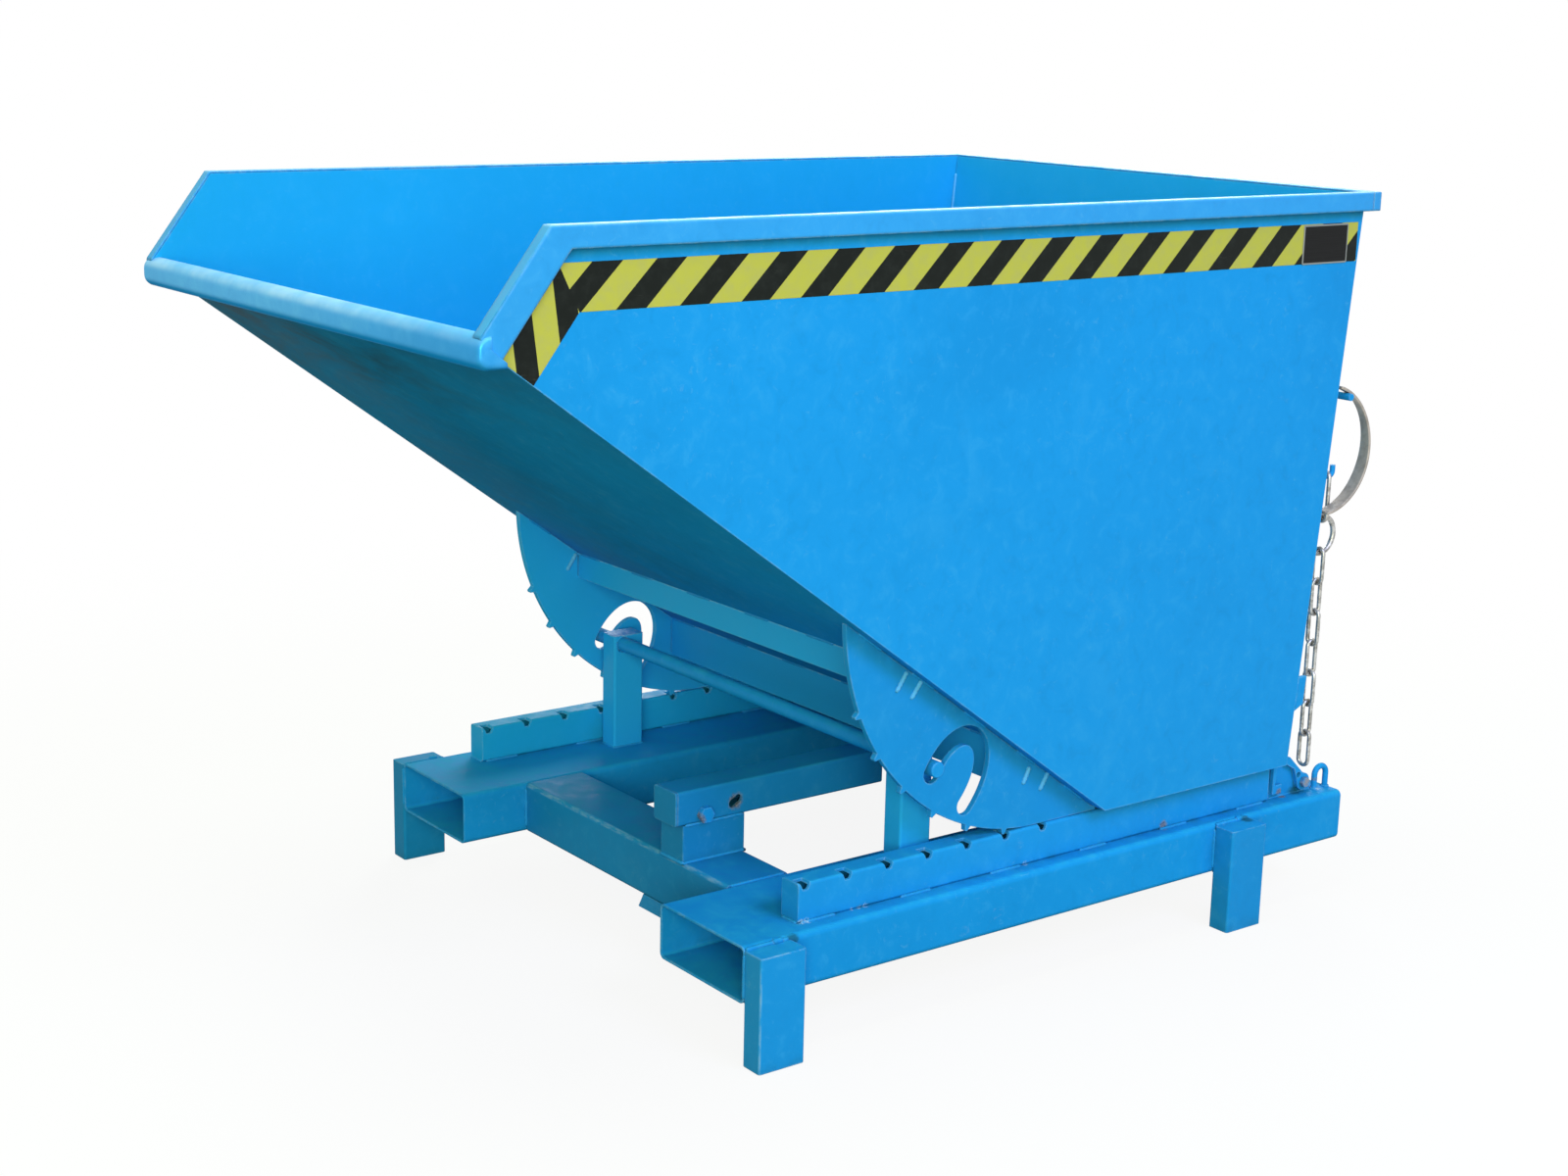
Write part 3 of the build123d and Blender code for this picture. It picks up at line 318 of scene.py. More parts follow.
def base_coat(t, where, mottle, deep_tone_and_shade):
    """Softly mottled blue paint with pale flecks."""
    cloud = t.noise(where, 2.6, detail=3.0, rough=0.55)
    # A darker start: a darker tone of the paint, and painted shade for parts in shade
    colour = t.mix(t.ramp(cloud, 0.38, 0.70, deep_tone_and_shade, deep_tone_and_shade + 0.65), PAINT, PAINT_DEEP)
    colour = t.mix(t.ramp(mottle, 0.50, 0.74, to_high=0.38), colour, PAINT_PALE)
    colour = t.mix(t.ramp(mottle, 0.50, 0.28, to_high=0.48), colour, PAINT_DEEP)
    blotch = t.stretch(where, (11.0, 9.0, 7.0))
    blotch = t.noise(blotch, 1.0, detail=4.0, rough=0.62, twist=0.7)
    colour = t.mix(t.ramp(blotch, 0.54, 0.74, to_high=0.22), colour, PAINT_PALE)
    fleck = t.ramp(t.noise(where, 85.0, detail=4.0, rough=0.65, twist=0.6), 0.58, 0.74)
    often = t.ramp(t.noise(where, 9.0, detail=3.0, rough=0.6), 0.40, 0.62, 0.10, 0.50)
    return t.mix(t.math("MULTIPLY", fleck, often), colour, FLECK)


def smears(t, where):
    """Give 1 on slanted smears that come in patches."""
    smear = t.stretch(where, (26.0, 34.0, 60.0), turn=(0.5, 0.0, 0.2))
    smear = t.noise(smear, 1.0, detail=6.0, rough=0.72, twist=1.1)
    patches = t.ramp(t.noise(where, 4.4), 0.48, 0.68)
    return t.math("MULTIPLY", t.ramp(smear, 0.60, 0.78), patches)


def soiled(t, where, colour, soil):
    """Earth on an underside, most of it high up and at the far side."""
    across, _, height = t.split(where)
    under = t.math("MULTIPLY", t.ramp(height, soil.low, soil.high, to_low=0.30),
                   t.ramp(across, *SOIL_RANGE, to_low=0.35))
    stain = t.stretch(where, (3.0, 6.0, 6.0))
    stain = t.noise(stain, 1.0, detail=5.0, rough=0.68, twist=0.6)
    stain = t.ramp(stain, 0.36, 0.68, 0.35 * soil.strength, soil.strength)
    earth = t.mix(t.ramp(across, *EARTH_RANGE), SOIL, SOIL_PALE)
    return t.mix(t.math("MULTIPLY", under, stain), colour, earth)


def shifted(t, colour, shift, inner):
    """Painted light and shade: move the colour toward a lit or shaded copy of the paint, all over
    or only on the tub's inner faces.
    """
    amount, toward = shift
    if inner:
        across, along, _ = t.split(t.facing())
        inside = t.math("MAXIMUM", across, t.math("MULTIPLY", along, -1.0))
        amount = t.ramp(inside, 0.2, 0.8, to_high=amount)
    return t.mix(amount, colour, toward)


def crowned(t, where, colour, crown, rolled):
    """Paint a highlight on the upper side of an edge and shade on its underside, as if rolled to
    a radius.
    """
    rounded = None
    if rolled > 0.0:
        curve = t.add("ShaderNodeBevel", samples=8)
        t.feed(curve.inputs["Radius"], rolled)
        rounded = curve.outputs[0]
        own = t.add("ShaderNodeVectorTransform", vector_type="NORMAL", convert_from="WORLD",
                    convert_to="OBJECT")
        t.feed(own.inputs[0], rounded)
        direction = own.outputs[0]
    else:
        direction = t.facing()
    tilt = t.split(direction)[2]
    broken = t.ramp(t.noise(where, 14.0, detail=4.0, rough=0.6), 0.30, 0.70, to_low=0.35)
    # The painted highlight is weaker toward +X
    highlight_share = t.ramp(t.split(where)[0], *CROWN_RANGE, to_low=crown.least)
    bright = t.math("MULTIPLY", t.ramp(tilt, crown.low, crown.high, to_high=crown.strength),
                    t.math("MULTIPLY", broken, highlight_share))
    colour = t.mix(bright, colour, ROLLED_HIGHLIGHT)
    shade = t.ramp(tilt, -0.05, -0.70, to_high=min(1.3 * crown.strength, 0.9))
    return t.mix(shade, colour, ROLLED_SHADE), rounded


def rubbed_line(t, where, colour, axis, point, radius):
    """Dashes of bare primer along an edge that runs along an axis."""
    flat = tuple(0.0 if i == axis else 1.0 for i in range(3))
    there = t.vector("MULTIPLY", where, flat)
    off = t.vector("DISTANCE", there, tuple(p * f for p, f in zip(point, flat)))
    band = t.ramp(off, radius, 0.45 * radius)
    dashes = t.stretch(where, tuple(30.0 if i == axis else 120.0 for i in range(3)))
    dashes = t.ramp(t.noise(dashes, 1.0, detail=4.0, rough=0.7), 0.40, 0.66, to_high=0.42)
    return t.mix(t.math("MULTIPLY", band, dashes), colour, PRIMER)


def primer_and_highlight_at_edges(t, where, colour, wear, plugs):
    """Primer along the edges, as wear and as a painted edge highlight, with dark chips. Give the
    colour and the mask of wear and highlight.
    """
    rim = t.edges(0.0042, 0.015, 0.20)
    if plugs:
        level = t.vector("MULTIPLY", where, (0.0, 1.0, 1.0))
        clear = t.math("GREATER_THAN", t.vector("DISTANCE", level, PLUG_PLACE), PLUG_CLEAR)
        rim = t.math("MULTIPLY", rim, clear)
    patchy = t.noise(where, 46.0, detail=5.0, rough=0.7)
    edge_wear_and_highlight = t.math("MULTIPLY", rim, t.ramp(patchy, 0.36, 0.68, 0.05, 0.58 * wear))
    colour = t.mix(edge_wear_and_highlight, colour, PRIMER)
    chips = t.noise(where, 17.0, detail=6.0, rough=0.75)
    bare = t.math("MULTIPLY", rim, t.ramp(chips, 0.66, 0.74, to_high=0.55 * wear))
    return t.mix(bare, colour, GRIME_AND_SHADE), edge_wear_and_highlight


def painted_steel(name, wear=1.0, rust=(), pale=(), painted_shadows=(), deep_tone_and_shade=0.0, gloss=0.09, metal=0.0,
                  sheen=WHITE, pale_highlight=0.0, shift=None, inner=False, plugs=False, soil=None,
                  crown=None, rolled=0.0, lines=()):
    """Blue paint on sheet steel: mottled, with wear at edges, dust on top and grime in corners;
    with painted highlights, painted light and painted shade.
    """
    material, t = new_material(name)
    where = t.place()
    mottle = t.noise(where, 30.0, detail=5.0, rough=0.66, twist=0.5)
    colour = base_coat(t, where, mottle, deep_tone_and_shade)
    marks = smears(t, where)
    colour = t.mix(t.math("MULTIPLY", marks, 0.22 * wear), colour, PRIMER)
    # Dust, and painted top light: upward faces turn a lighter, greener blue
    dust_and_top_light = t.ramp(mottle, 0.25, 0.75, 0.15, 0.50)
    dust_and_top_light = t.math("MULTIPLY", t.upward(0.35, 0.95), dust_and_top_light)
    colour = t.mix(dust_and_top_light, colour, DUST_AND_TOP_LIGHT)
    # Dirt and painted shade in corners that little light gets into
    ragged = t.ramp(t.noise(where, 24.0, detail=5.0, rough=0.65), 0.30, 0.70, 0.10, 0.55)
    darker_in_crevices = t.math("MULTIPLY", t.crevices(0.045, 0.35, 0.85), ragged)
    colour = t.mix(darker_in_crevices, colour, GRIME_AND_SHADE)

    if soil:
        colour = soiled(t, where, colour, soil)
    # Painted highlight: a paler blue, weaker toward +X where there is a crown
    if pale_highlight > 0.0:
        amount = t.ramp(mottle, 0.25, 0.75, 0.6 * pale_highlight, pale_highlight)
        if crown:
            share = t.ramp(t.split(where)[0], *HIGHLIGHT_RANGE, to_low=crown.least)
            amount = t.math("MULTIPLY", amount, share)
        colour = t.mix(amount, colour, HIGHLIGHT_PALE)
    # Painted light and shade: a lit or shaded copy of the paint
    if shift:
        colour = shifted(t, colour, shift, inner)
    rounded = None
    # Painted highlight on upper sides and painted shade on undersides
    if crown:
        colour, rounded = crowned(t, where, colour, crown, rolled)
    for axis, point, radius in lines:
        colour = rubbed_line(t, where, colour, axis, point, radius)
    # Wear at the edges, which also carries a painted edge highlight
    colour, edge_wear_and_highlight = primer_and_highlight_at_edges(t, where, colour, wear, plugs)

    rough = t.ramp(mottle, 0.2, 0.8, 0.34, 0.50)
    rough = t.math("ADD", rough, t.math("MULTIPLY", marks, 0.16))
    rough = t.math("ADD", rough, t.math("MULTIPLY", dust_and_top_light, 0.35))
    if rust:
        rusty = any_near(t, where, rust, 0.45)
        speckle = t.ramp(t.noise(where, 420.0, detail=4.0, rough=0.7), 0.35, 0.62)
        brown = t.mix(speckle, RUST_DARK, RUST)
        colour = t.mix(t.math("MULTIPLY", rusty, 0.72), colour, brown)
        rough = t.math("ADD", rough, t.math("MULTIPLY", rusty, 0.3), clamp=True)
    # Painted shadow: dark spots where gaps lie in shade
    if painted_shadows:
        shadow_mask = any_near(t, where, painted_shadows, 0.5)
        colour = t.mix(t.math("MULTIPLY", shadow_mask, 0.75), colour, GRIME_AND_SHADE)
    if pale:
        bright = any_near(t, where, pale, 0.6)
        flecks = t.ramp(t.noise(where, 260.0, detail=4.0, rough=0.7), 0.44, 0.62)
        bright = t.math("MULTIPLY", t.math("MULTIPLY", bright, flecks), 0.75)
        colour = t.mix(bright, colour, PALE_MARK)

    shine = t.math("MULTIPLY", t.upward(-0.5, 0.1), gloss)
    sheet = t.bump(t.noise(where, 3.2), 0.30, 0.010, after=rounded)
    peel = t.bump(t.noise(where, 520.0), 0.10, 0.0006, after=sheet)
    lift = t.bump(t.math("MULTIPLY", edge_wear_and_highlight, -1.0), 0.25, 0.0006, after=peel)
    t.surface(Base_Color=colour, Metallic=metal, Roughness=rough, Normal=lift,
              Specular_IOR_Level=shine, Specular_Tint=sheen)
    return material


def striped_tape(name):
    """Yellow and black slanted stripes that turn with the band at its bend."""
    material, t = new_material(name)
    where = t.place()
    _, y, z = t.split(where)

    def measured(origin, direction):
        """Give how far a place is from an origin along a direction, both in Y and Z."""
        return t.math("ADD", t.math("MULTIPLY", t.math("SUBTRACT", y, origin[0]), direction[0]),
                      t.math("MULTIPLY", t.math("SUBTRACT", z, origin[1]), direction[1]))

    top = t.math("ADD", t.math("SUBTRACT", y, z), STRIPE_START + STRIPE_BLACK / 2)
    top_phase = t.math("DIVIDE", top, STRIPE_PERIOD)
    along = measured(CHEEK_CORNER, CHEEK_STEP)
    inward = measured(CHEEK_CORNER, CHEEK_INWARD)
    cheek = t.math("SUBTRACT", t.math("SUBTRACT", along, inward), CHEEK_START)
    cheek_phase = t.math("DIVIDE", cheek, CHEEK_PERIOD)
    across_bend = (BEND_LOW[1] - BEND_HIGH[1], BEND_HIGH[0] - BEND_LOW[0])
    on_cheek = t.math("GREATER_THAN", measured(BEND_HIGH, across_bend), 0.0)
    phase = t.math("ADD", t.math("MULTIPLY", cheek_phase, on_cheek),
                   t.math("MULTIPLY", top_phase, t.math("SUBTRACT", 1.0, on_cheek)))
    share = t.math("FRACT", phase)
    black_share = STRIPE_BLACK / STRIPE_PERIOD
    stripe = t.math("MULTIPLY", t.ramp(share, 0.0, STRIPE_SOFT),
                    t.ramp(share, black_share, black_share - STRIPE_SOFT))

    mottle = t.noise(where, 60.0, detail=4.0, rough=0.6)
    yellow = t.mix(t.ramp(mottle, 0.35, 0.72), YELLOW, YELLOW_WORN)
    black = t.mix(t.ramp(mottle, 0.42, 0.78, to_high=0.6), BLACK, BLACK_WORN)
    colour = t.mix(stripe, yellow, black)
    scuffs = t.stretch(where, (1.0, 24.0, 150.0))
    scuffs = t.noise(scuffs, 1.0, detail=5.0, rough=0.7, twist=0.8)
    colour = t.mix(t.ramp(scuffs, 0.62, 0.80, to_high=0.22), colour, TAPE_SCUFF)
    rim = t.edges(0.0012, 0.02, 0.25)
    colour = t.mix(t.math("MULTIPLY", rim, 0.5), colour, GRIME_AND_SHADE)
    rough = t.ramp(mottle, 0.2, 0.8, 0.36, 0.54)
    creases = t.noise(t.stretch(where, (1.0, 9.0, 22.0)), 1.0, detail=3.0, rough=0.6)
    t.surface(Base_Color=colour, Roughness=rough, Normal=t.bump(creases, 0.20, 0.002),
              Specular_IOR_Level=0.10)
    return material


def bare_metal(name, pale, dark, rough, rust, scale, most):
    """Zinc or plain steel with a dull, uneven skin and a painted highlight on its edges, metallic
    at most to a share.
    """
    material, t = new_material(name)
    where = t.place()
    cloud = t.noise(where, scale, detail=5.0, rough=0.65, twist=0.3)
    colour = t.mix(t.ramp(cloud, 0.36, 0.66), pale, dark)
    darker_in_crevices = t.crevices(0.02, 0.25, 0.80)
    colour = t.mix(t.math("MULTIPLY", darker_in_crevices, 0.6), colour, RUST_DARK)
    stained = t.noise(where, scale * 0.6, detail=6.0, rough=0.7)
    stained = t.ramp(stained, 0.66 - 0.30 * rust, 0.80 - 0.22 * rust)
    stain = t.math("MULTIPLY", stained, min(2.0 * rust, 0.35 + 0.55 * rust))
    colour = t.mix(stain, colour, RUST)
    # Painted highlight along the edges
    rim = t.edges(0.0012, 0.02, 0.30)
    colour = t.mix(t.math("MULTIPLY", rim, 0.4), colour, METAL_EDGE_HIGHLIGHT)
    dull = t.ramp(cloud, 0.25, 0.75, rough - 0.08, rough + 0.16)
    dull = t.math("ADD", dull, t.math("MULTIPLY", stained, 0.25), clamp=True)
    metal = t.math("SUBTRACT", most, t.math("MULTIPLY", stained, 0.6 * rust + 0.2))
    grain = t.bump(t.noise(where, scale * 6.0, detail=3.0), 0.18, 0.0008)
    t.surface(Base_Color=colour, Metallic=metal, Roughness=dull, Normal=grain)
    return material


def satin_plate(name):
    """Dark lacquered plate with a bright cut edge and rubbed places."""
    material, t = new_material(name)
    where = t.place()
    brushed = t.noise(t.stretch(where, (1.0, 14.0, 900.0)), 1.0, detail=3.0, rough=0.6)
    colour = t.mix(t.ramp(brushed, 0.35, 0.75, to_high=0.5), PLATE, PLATE_BRUSHED)
    highlight_share = t.noise(where, 70.0, detail=5.0, rough=0.7)
    colour = t.mix(t.ramp(highlight_share, 0.58, 0.80, to_high=0.20), colour, PLATE_RUBBED)
    _, along, height = t.split(t.vector("ABSOLUTE", t.vector("SUBTRACT", where, PLATE_MIDDLE)))
    inset = t.math("MINIMUM", t.math("SUBTRACT", PLATE_HALF[0], along),
                   t.math("SUBTRACT", PLATE_HALF[1], height))
    line = t.ramp(inset, PLATE_MARGIN, PLATE_MARGIN - PLATE_LINE_SOFT, to_high=0.75)
    colour = t.mix(line, colour, PLATE_LINE)
    rim = t.edges(0.0010, 0.02, 0.25)
    colour = t.mix(t.math("MULTIPLY", rim, 0.8), colour, PLATE_EDGE)
    rough = t.ramp(brushed, 0.2, 0.8, 0.30, 0.46)
    grain = t.bump(brushed, 0.10, 0.0004)
    t.surface(Base_Color=colour, Roughness=rough, Normal=grain, Specular_IOR_Level=0.12)
    return material


# Materials
blue = painted_steel("blue_paint", **SPOTS)
blue_frame = painted_steel("blue_frame_paint", wear=1.5, gloss=0.03, lines=TUBE_LINES, **SPOTS)
blue_leg = painted_steel("blue_leg_paint", wear=2.6, lines=LEG_LINES, **MARKS)
# Painted shade: darker copies of the paint, for parts that lie in shade
blue_beam = painted_steel("blue_beam_paint", wear=1.3, rust=RUST_SPOTS, deep_tone_and_shade=0.35, gloss=0.04,
                          shift=(0.20, GRIME_AND_SHADE), lines=BEAM_LINES)
blue_painted_shade = painted_steel("blue_painted_shade_paint", deep_tone_and_shade=0.40, shift=(0.06, GRIME_AND_SHADE), **SPOTS)
blue_painted_dark_shade = painted_steel("blue_painted_dark_shade_paint", rust=RUST_SPOTS, deep_tone_and_shade=0.35, gloss=0.04,
                           shift=(0.29, GRIME_AND_SHADE))
# Painted light: lighter copies of the paint, for parts in the tub's shade
blue_painted_light_cyan = painted_steel("blue_painted_light_cyan_paint", wear=1.3, shift=(0.60, PAINTED_LIGHT_CYAN))
blue_painted_light = painted_steel("blue_painted_light_paint", wear=1.3, shift=(0.75, PAINTED_LIGHT_BLUE))
blue_wall = painted_steel("blue_wall_paint", wear=0.9, plugs=True)
# Painted light on the tub's inner faces
blue_inner = painted_steel("blue_inner_paint", wear=0.9, plugs=True, shift=(0.55, PAINTED_LIGHT_CYAN),
                           inner=True)
# Painted highlights and painted shade on the rims and the lip
blue_rim = painted_steel("blue_rim_paint", wear=1.7, pale_highlight=0.08, gloss=0.35, rolled=0.0060,
                         crown=Crown(strength=0.55, low=0.50, high=0.92, least=1.0))
blue_lip = painted_steel("blue_lip_paint", wear=0.25, pale_highlight=0.66, gloss=0.3, metal=0.46,
                         sheen=LIP_SHEEN,
                         crown=Crown(strength=0.85, low=0.06, high=0.60, least=0.30))
blue_under = painted_steel("blue_under_paint", soil=Soil(low=0.84, high=0.97, strength=0.85))
blue_bolt = painted_steel("blue_bolt_paint", wear=1.2, rust=BOLT_RUST)
weld_blue = painted_steel("blue_weld_paint", wear=0.9, deep_tone_and_shade=0.30, **MARKS)
# Painted highlight on the weld seams and bars
bar_blue = painted_steel("blue_bar_paint", wear=1.7, pale_highlight=0.55)
tape = striped_tape("warning_tape")
zinc = bare_metal("zinc_steel", ZINC, ZINC_DARK, rough=0.36, rust=0.05, scale=90.0, most=0.75)
bright_zinc = bare_metal("bright_zinc", HANDLE_PALE, HANDLE_DARK, rough=0.46, rust=0.0,
                         scale=40.0, most=0.30)
fastener = bare_metal("worn_fastener", FASTENER_BARE, FASTENER_PAINTED, rough=0.50, rust=0.2,
                      scale=110.0, most=0.30)
dark = satin_plate("dark_plate")

# Nodes with another material than plain blue paint
SPECIAL = {
    "rim_right": blue_rim,
    "rim_left": blue_rim,
    "rim_rear": blue_rim,
    "cross_beam_front": blue_beam,
    "cross_beam_rear": blue_beam,
    "centre_beam": blue_painted_dark_shade,
    "centre_beam_cap": blue_painted_dark_shade,
    "centre_beam_foot": blue_painted_dark_shade,
    "leg_front_right": blue_leg,
    "rocker_right": blue_painted_shade,
    "leg_rear_right": blue_painted_shade,
    "leg_front_left": blue_beam,
    "rocker_left": blue_painted_light,
    "rail_left": blue_painted_light_cyan,
    "guide_post_right": blue_painted_light,
    "guide_post_left": blue_painted_light,
    "stiffener_upper": blue_painted_light,
    "stiffener_lower": blue_painted_light,
    "fork_tube_right": blue_frame,
    "fork_tube_left": blue_frame,
    "tub_side_right": blue_wall,
    "tub_side_left": blue_inner,
    "tub_rear_wall": blue_inner,
    "jig_plugs": blue_wall,
    "tub_floor": blue_under,
    "warning_tape_right": tape,
    "warning_tape_left": tape,
    "hook_link": zinc,
    "chain_ring": zinc,
    "pull_chain": zinc,
    "lock_bolt": fastener,
    "lock_nut": fastener,
    "centre_beam_bolt": blue_bolt,
    "blank_plate": dark,
}

# Rounding of the nodes' edges, in metres and degrees: thin sheets get less, round bars none
EDGE_ROUND = 0.0011
THIN_ROUND = {
    "warning_tape_right": 0.0,
    "warning_tape_left": 0.0,
    "tub_side_right": 0.0,
    "tub_side_left": 0.0,
    "jig_plugs": 0.0,
    "blank_plate": 0.0003,
}
ROUND_BARS = ("hook_link", "chain_ring", "pull_chain", "securing_eye")
JOIN_WITHIN = 0.00001
FLAT_ANGLE = 0.4
EDGE_ANGLE = 35.0


def soften(node, width):
    """Round a node's edges to a width, so that they catch the light."""
    join = node.modifiers.new("join", "WELD")
    join.merge_threshold = JOIN_WITHIN
    if width > 0.0:
        flat = node.modifiers.new("flat", "DECIMATE")
        flat.decimate_type = "DISSOLVE"
        flat.angle_limit = math.radians(FLAT_ANGLE)
        soft = node.modifiers.new("soft", "BEVEL")
        soft.width = width
        soft.segments = 2
        soft.limit_method = "ANGLE"
        soft.angle_limit = math.radians(EDGE_ANGLE)
        soft.miter_outer = "MITER_ARC"
    even = node.modifiers.new("even", "WEIGHTED_NORMAL")
    even.keep_sharp = True


for name, node in nodes.items():
    node.data.materials[0] = SPECIAL.get(name, blue)
    if name not in ROUND_BARS:
        soften(node, THIN_ROUND.get(name, EDGE_ROUND))


def place_in(node):
    """Give a node's lowest and highest corner as plain numbers."""
    low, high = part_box(node)
    return tuple(low), tuple(high)


def new_piece(name, points, faces, paint):
    """Make a smooth piece from points and faces."""
    mesh = bpy.data.meshes.new(name)
    mesh.from_pydata(points, [], faces)
    mesh.polygons.foreach_set("use_smooth", [True] * len(mesh.polygons))
    mesh.materials.append(paint)
    piece = bpy.data.objects.new(name, mesh)
    scene.collection.objects.link(piece)
    return piece


class Beads:
    """Rippled weld beads gathered into one piece."""

    SIDES = 8
    STEP = 0.003
    RIPPLE = (0.92, 1.10)
    UNEVEN = (0.93, 1.07)
    END_SHARE = 0.55
    STITCH_SLACK = 0.006
    ARC_STEPS = 24

    def __init__(self, name, body, seed, paint=weld_blue):
        self.name = name
        self.body = body
        self.paint = paint
        self.chance = random.Random(seed)
        self.points = []
        self.faces = []

    def run(self, path, radius):
        """Lay one bead along a path of points."""
        path = [Vector(p) for p in path]
        places = []
        for a, b in zip(path, path[1:]):
            count = max(1, round((b - a).length / self.STEP))
            places += [a.lerp(b, i / count) for i in range(count)]
        places.append(path[-1])
        first = len(self.points)
        last = len(places) - 1
        for i, place in enumerate(places):
            along = (places[min(i + 1, last)] - places[max(i - 1, 0)]).normalized()
            aside = along.orthogonal().normalized()
            upward = along.cross(aside)
            swell = self.RIPPLE[i % 2] * self.chance.uniform(*self.UNEVEN)
            if i in (0, last):
                swell *= self.END_SHARE
            reach = radius * swell
            for k in range(self.SIDES):
                angle = math.tau * k / self.SIDES
                point = place + aside * (math.cos(angle) * reach)
                self.points.append(point + upward * (math.sin(angle) * reach))
        for i in range(last):
            row = first + i * self.SIDES
            next_row = row + self.SIDES
            for k in range(self.SIDES):
                after = (k + 1) % self.SIDES
                self.faces.append((row + k, row + after, next_row + after, next_row + k))
        self.faces.append(tuple(reversed(range(first, first + self.SIDES))))
        end = first + last * self.SIDES
        self.faces.append(tuple(range(end, end + self.SIDES)))

    def stitches(self, start, stop, radius, length, gap):
        """Lay short beads with gaps along a line."""
        start, stop = Vector(start), Vector(stop)
        whole = (stop - start).length
        count = max(1, round((whole + gap) / (length + gap)))
        pitch = (whole + gap) / count
        for i in range(count):
            low = i * pitch + self.chance.uniform(0.0, self.STITCH_SLACK)
            high = i * pitch + pitch - gap - self.chance.uniform(0.0, self.STITCH_SLACK)
            ends = (low / whole, min(high / whole, 1.0))
            self.run([start.lerp(stop, share) for share in ends], radius)

    def both_sides(self, path, radius):
        """Lay a bead and its mirror image across the middle plane."""
        self.run(path, radius)
        self.run([(-x, y, z) for x, y, z in path], radius)

    def round_foot(self, low, high, z, radius, inset=0.0):
        """Lay a bead round a rectangular foot."""
        x0, y0 = low[0] + inset, low[1] + inset
        x1, y1 = high[0] - inset, high[1] - inset
        self.run([(x0, y0, z), (x1, y0, z), (x1, y1, z), (x0, y1, z), (x0, y0, z)], radius)

    def arc(self, x, y, z, ring, start, stop, radius):
        """Lay a bead on an arc of the YZ plane, angles in degrees from +Y."""
        angles = [math.radians(start + (stop - start) * i / self.ARC_STEPS)
                  for i in range(self.ARC_STEPS + 1)]
        self.run([(x, y + ring * math.cos(a), z + ring * math.sin(a)) for a in angles], radius)

    def finish(self):
        piece = new_piece(self.name, [tuple(p) for p in self.points], self.faces, self.paint)
        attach(piece, self.body)


# Section of the rolled lip: Y and Z of each corner and its radius, in metres
LIP_CORNERS = [
    (-0.8000, 1.0190, 0.0),
    (-0.8445, 1.0190, 0.0155),
    (-0.8445, 1.0630, 0.0180),
    (-0.8240, 1.0630, 0.0008),
    (-0.8240, 1.0445, 0.0040),
    (-0.8000, 1.0255, 0.0),
]

# Half length of the rolled lip, in metres, and its ends: distance and share of the section
LIP_HALF = 0.5155
LIP_ENDS = [(0.0000, 0.62), (0.0010, 0.80), (0.0028, 0.91), (0.0056, 0.97), (0.0100, 1.0)]

# Bow of the pull handle, in metres: Y of its upper and lower end, and its tips as above
BOW_HALF_HEIGHT = 0.1020
BOW_THICK = 0.0050
BOW_EDGE = 0.0018
BOW_ENDS = (0.7650, 0.7450)
BOW_TIPS = [(0.0000, 0.70), (0.0010, 0.90), (0.0026, 1.0)]

# Width at the top of the bow, and how far along it is as wide as the bar, as shares
BOW_TOP_WIDTH = 0.45
BOW_FULL_WIDTH = 0.75

# Fineness of the rounded skins: steps on a corner and along the bow, sharp edges in degrees
CORNER_STEPS = 7
BOW_STEPS = 48
SHARP_ANGLE = 50.0


def rounded_corners(corners):
    """Give the outline of a section whose corners are arcs."""
    outline = []
    count = len(corners)
    for i, (y, z, radius) in enumerate(corners):
        here = Vector((y, z))
        if radius == 0.0:
            outline.append(here)
            continue
        before = (Vector(corners[i - 1][:2]) - here).normalized()
        after = (Vector(corners[(i + 1) % count][:2]) - here).normalized()
        half = before.angle(after) / 2
        middle = here + (before + after).normalized() * (radius / math.sin(half))
        start = here + before * (radius / math.tan(half)) - middle
        sweep = start.angle_signed(here + after * (radius / math.tan(half)) - middle)
        for k in range(CORNER_STEPS + 1):
            outline.append(middle + Matrix.Rotation(-sweep * k / CORNER_STEPS, 2) @ start)
    return outline


def closed_skin(name, rows, paint, body, node):
    """Make a closed piece from rows of points, and let it stand for a node."""
    around = len(rows[0])
    faces = []
    for row in range(len(rows) - 1):
        for k in range(around):
            a, b = row * around + k, row * around + (k + 1) % around
            faces.append((a, a + around, b + around, b))
    faces.append(tuple(range(around)))
    faces.append(tuple(reversed(range((len(rows) - 1) * around, len(rows) * around))))
    piece = new_piece(name, [point for row in rows for point in row], faces, paint)
    piece.data.set_sharp_from_angle(angle=math.radians(SHARP_ANGLE))
    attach(piece, body)
    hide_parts(node)


def rolled_lip():
    """Rows of the pouring edge, a rolled bar with rounded ends."""
    outline = rounded_corners(LIP_CORNERS)
    mid_y = sum(p[0] for p in outline) / len(outline)
    mid_z = sum(p[1] for p in outline) / len(outline)
    places = [(-LIP_HALF + inset, scale) for inset, scale in LIP_ENDS]
    places += [(LIP_HALF - inset, scale) for inset, scale in reversed(LIP_ENDS)]
    rows = []
    for x, scale in places:
        rows.append([(x, mid_y + (y - mid_y) * scale, mid_z + (z - mid_z) * scale)
                     for y, z in outline])
    return rows


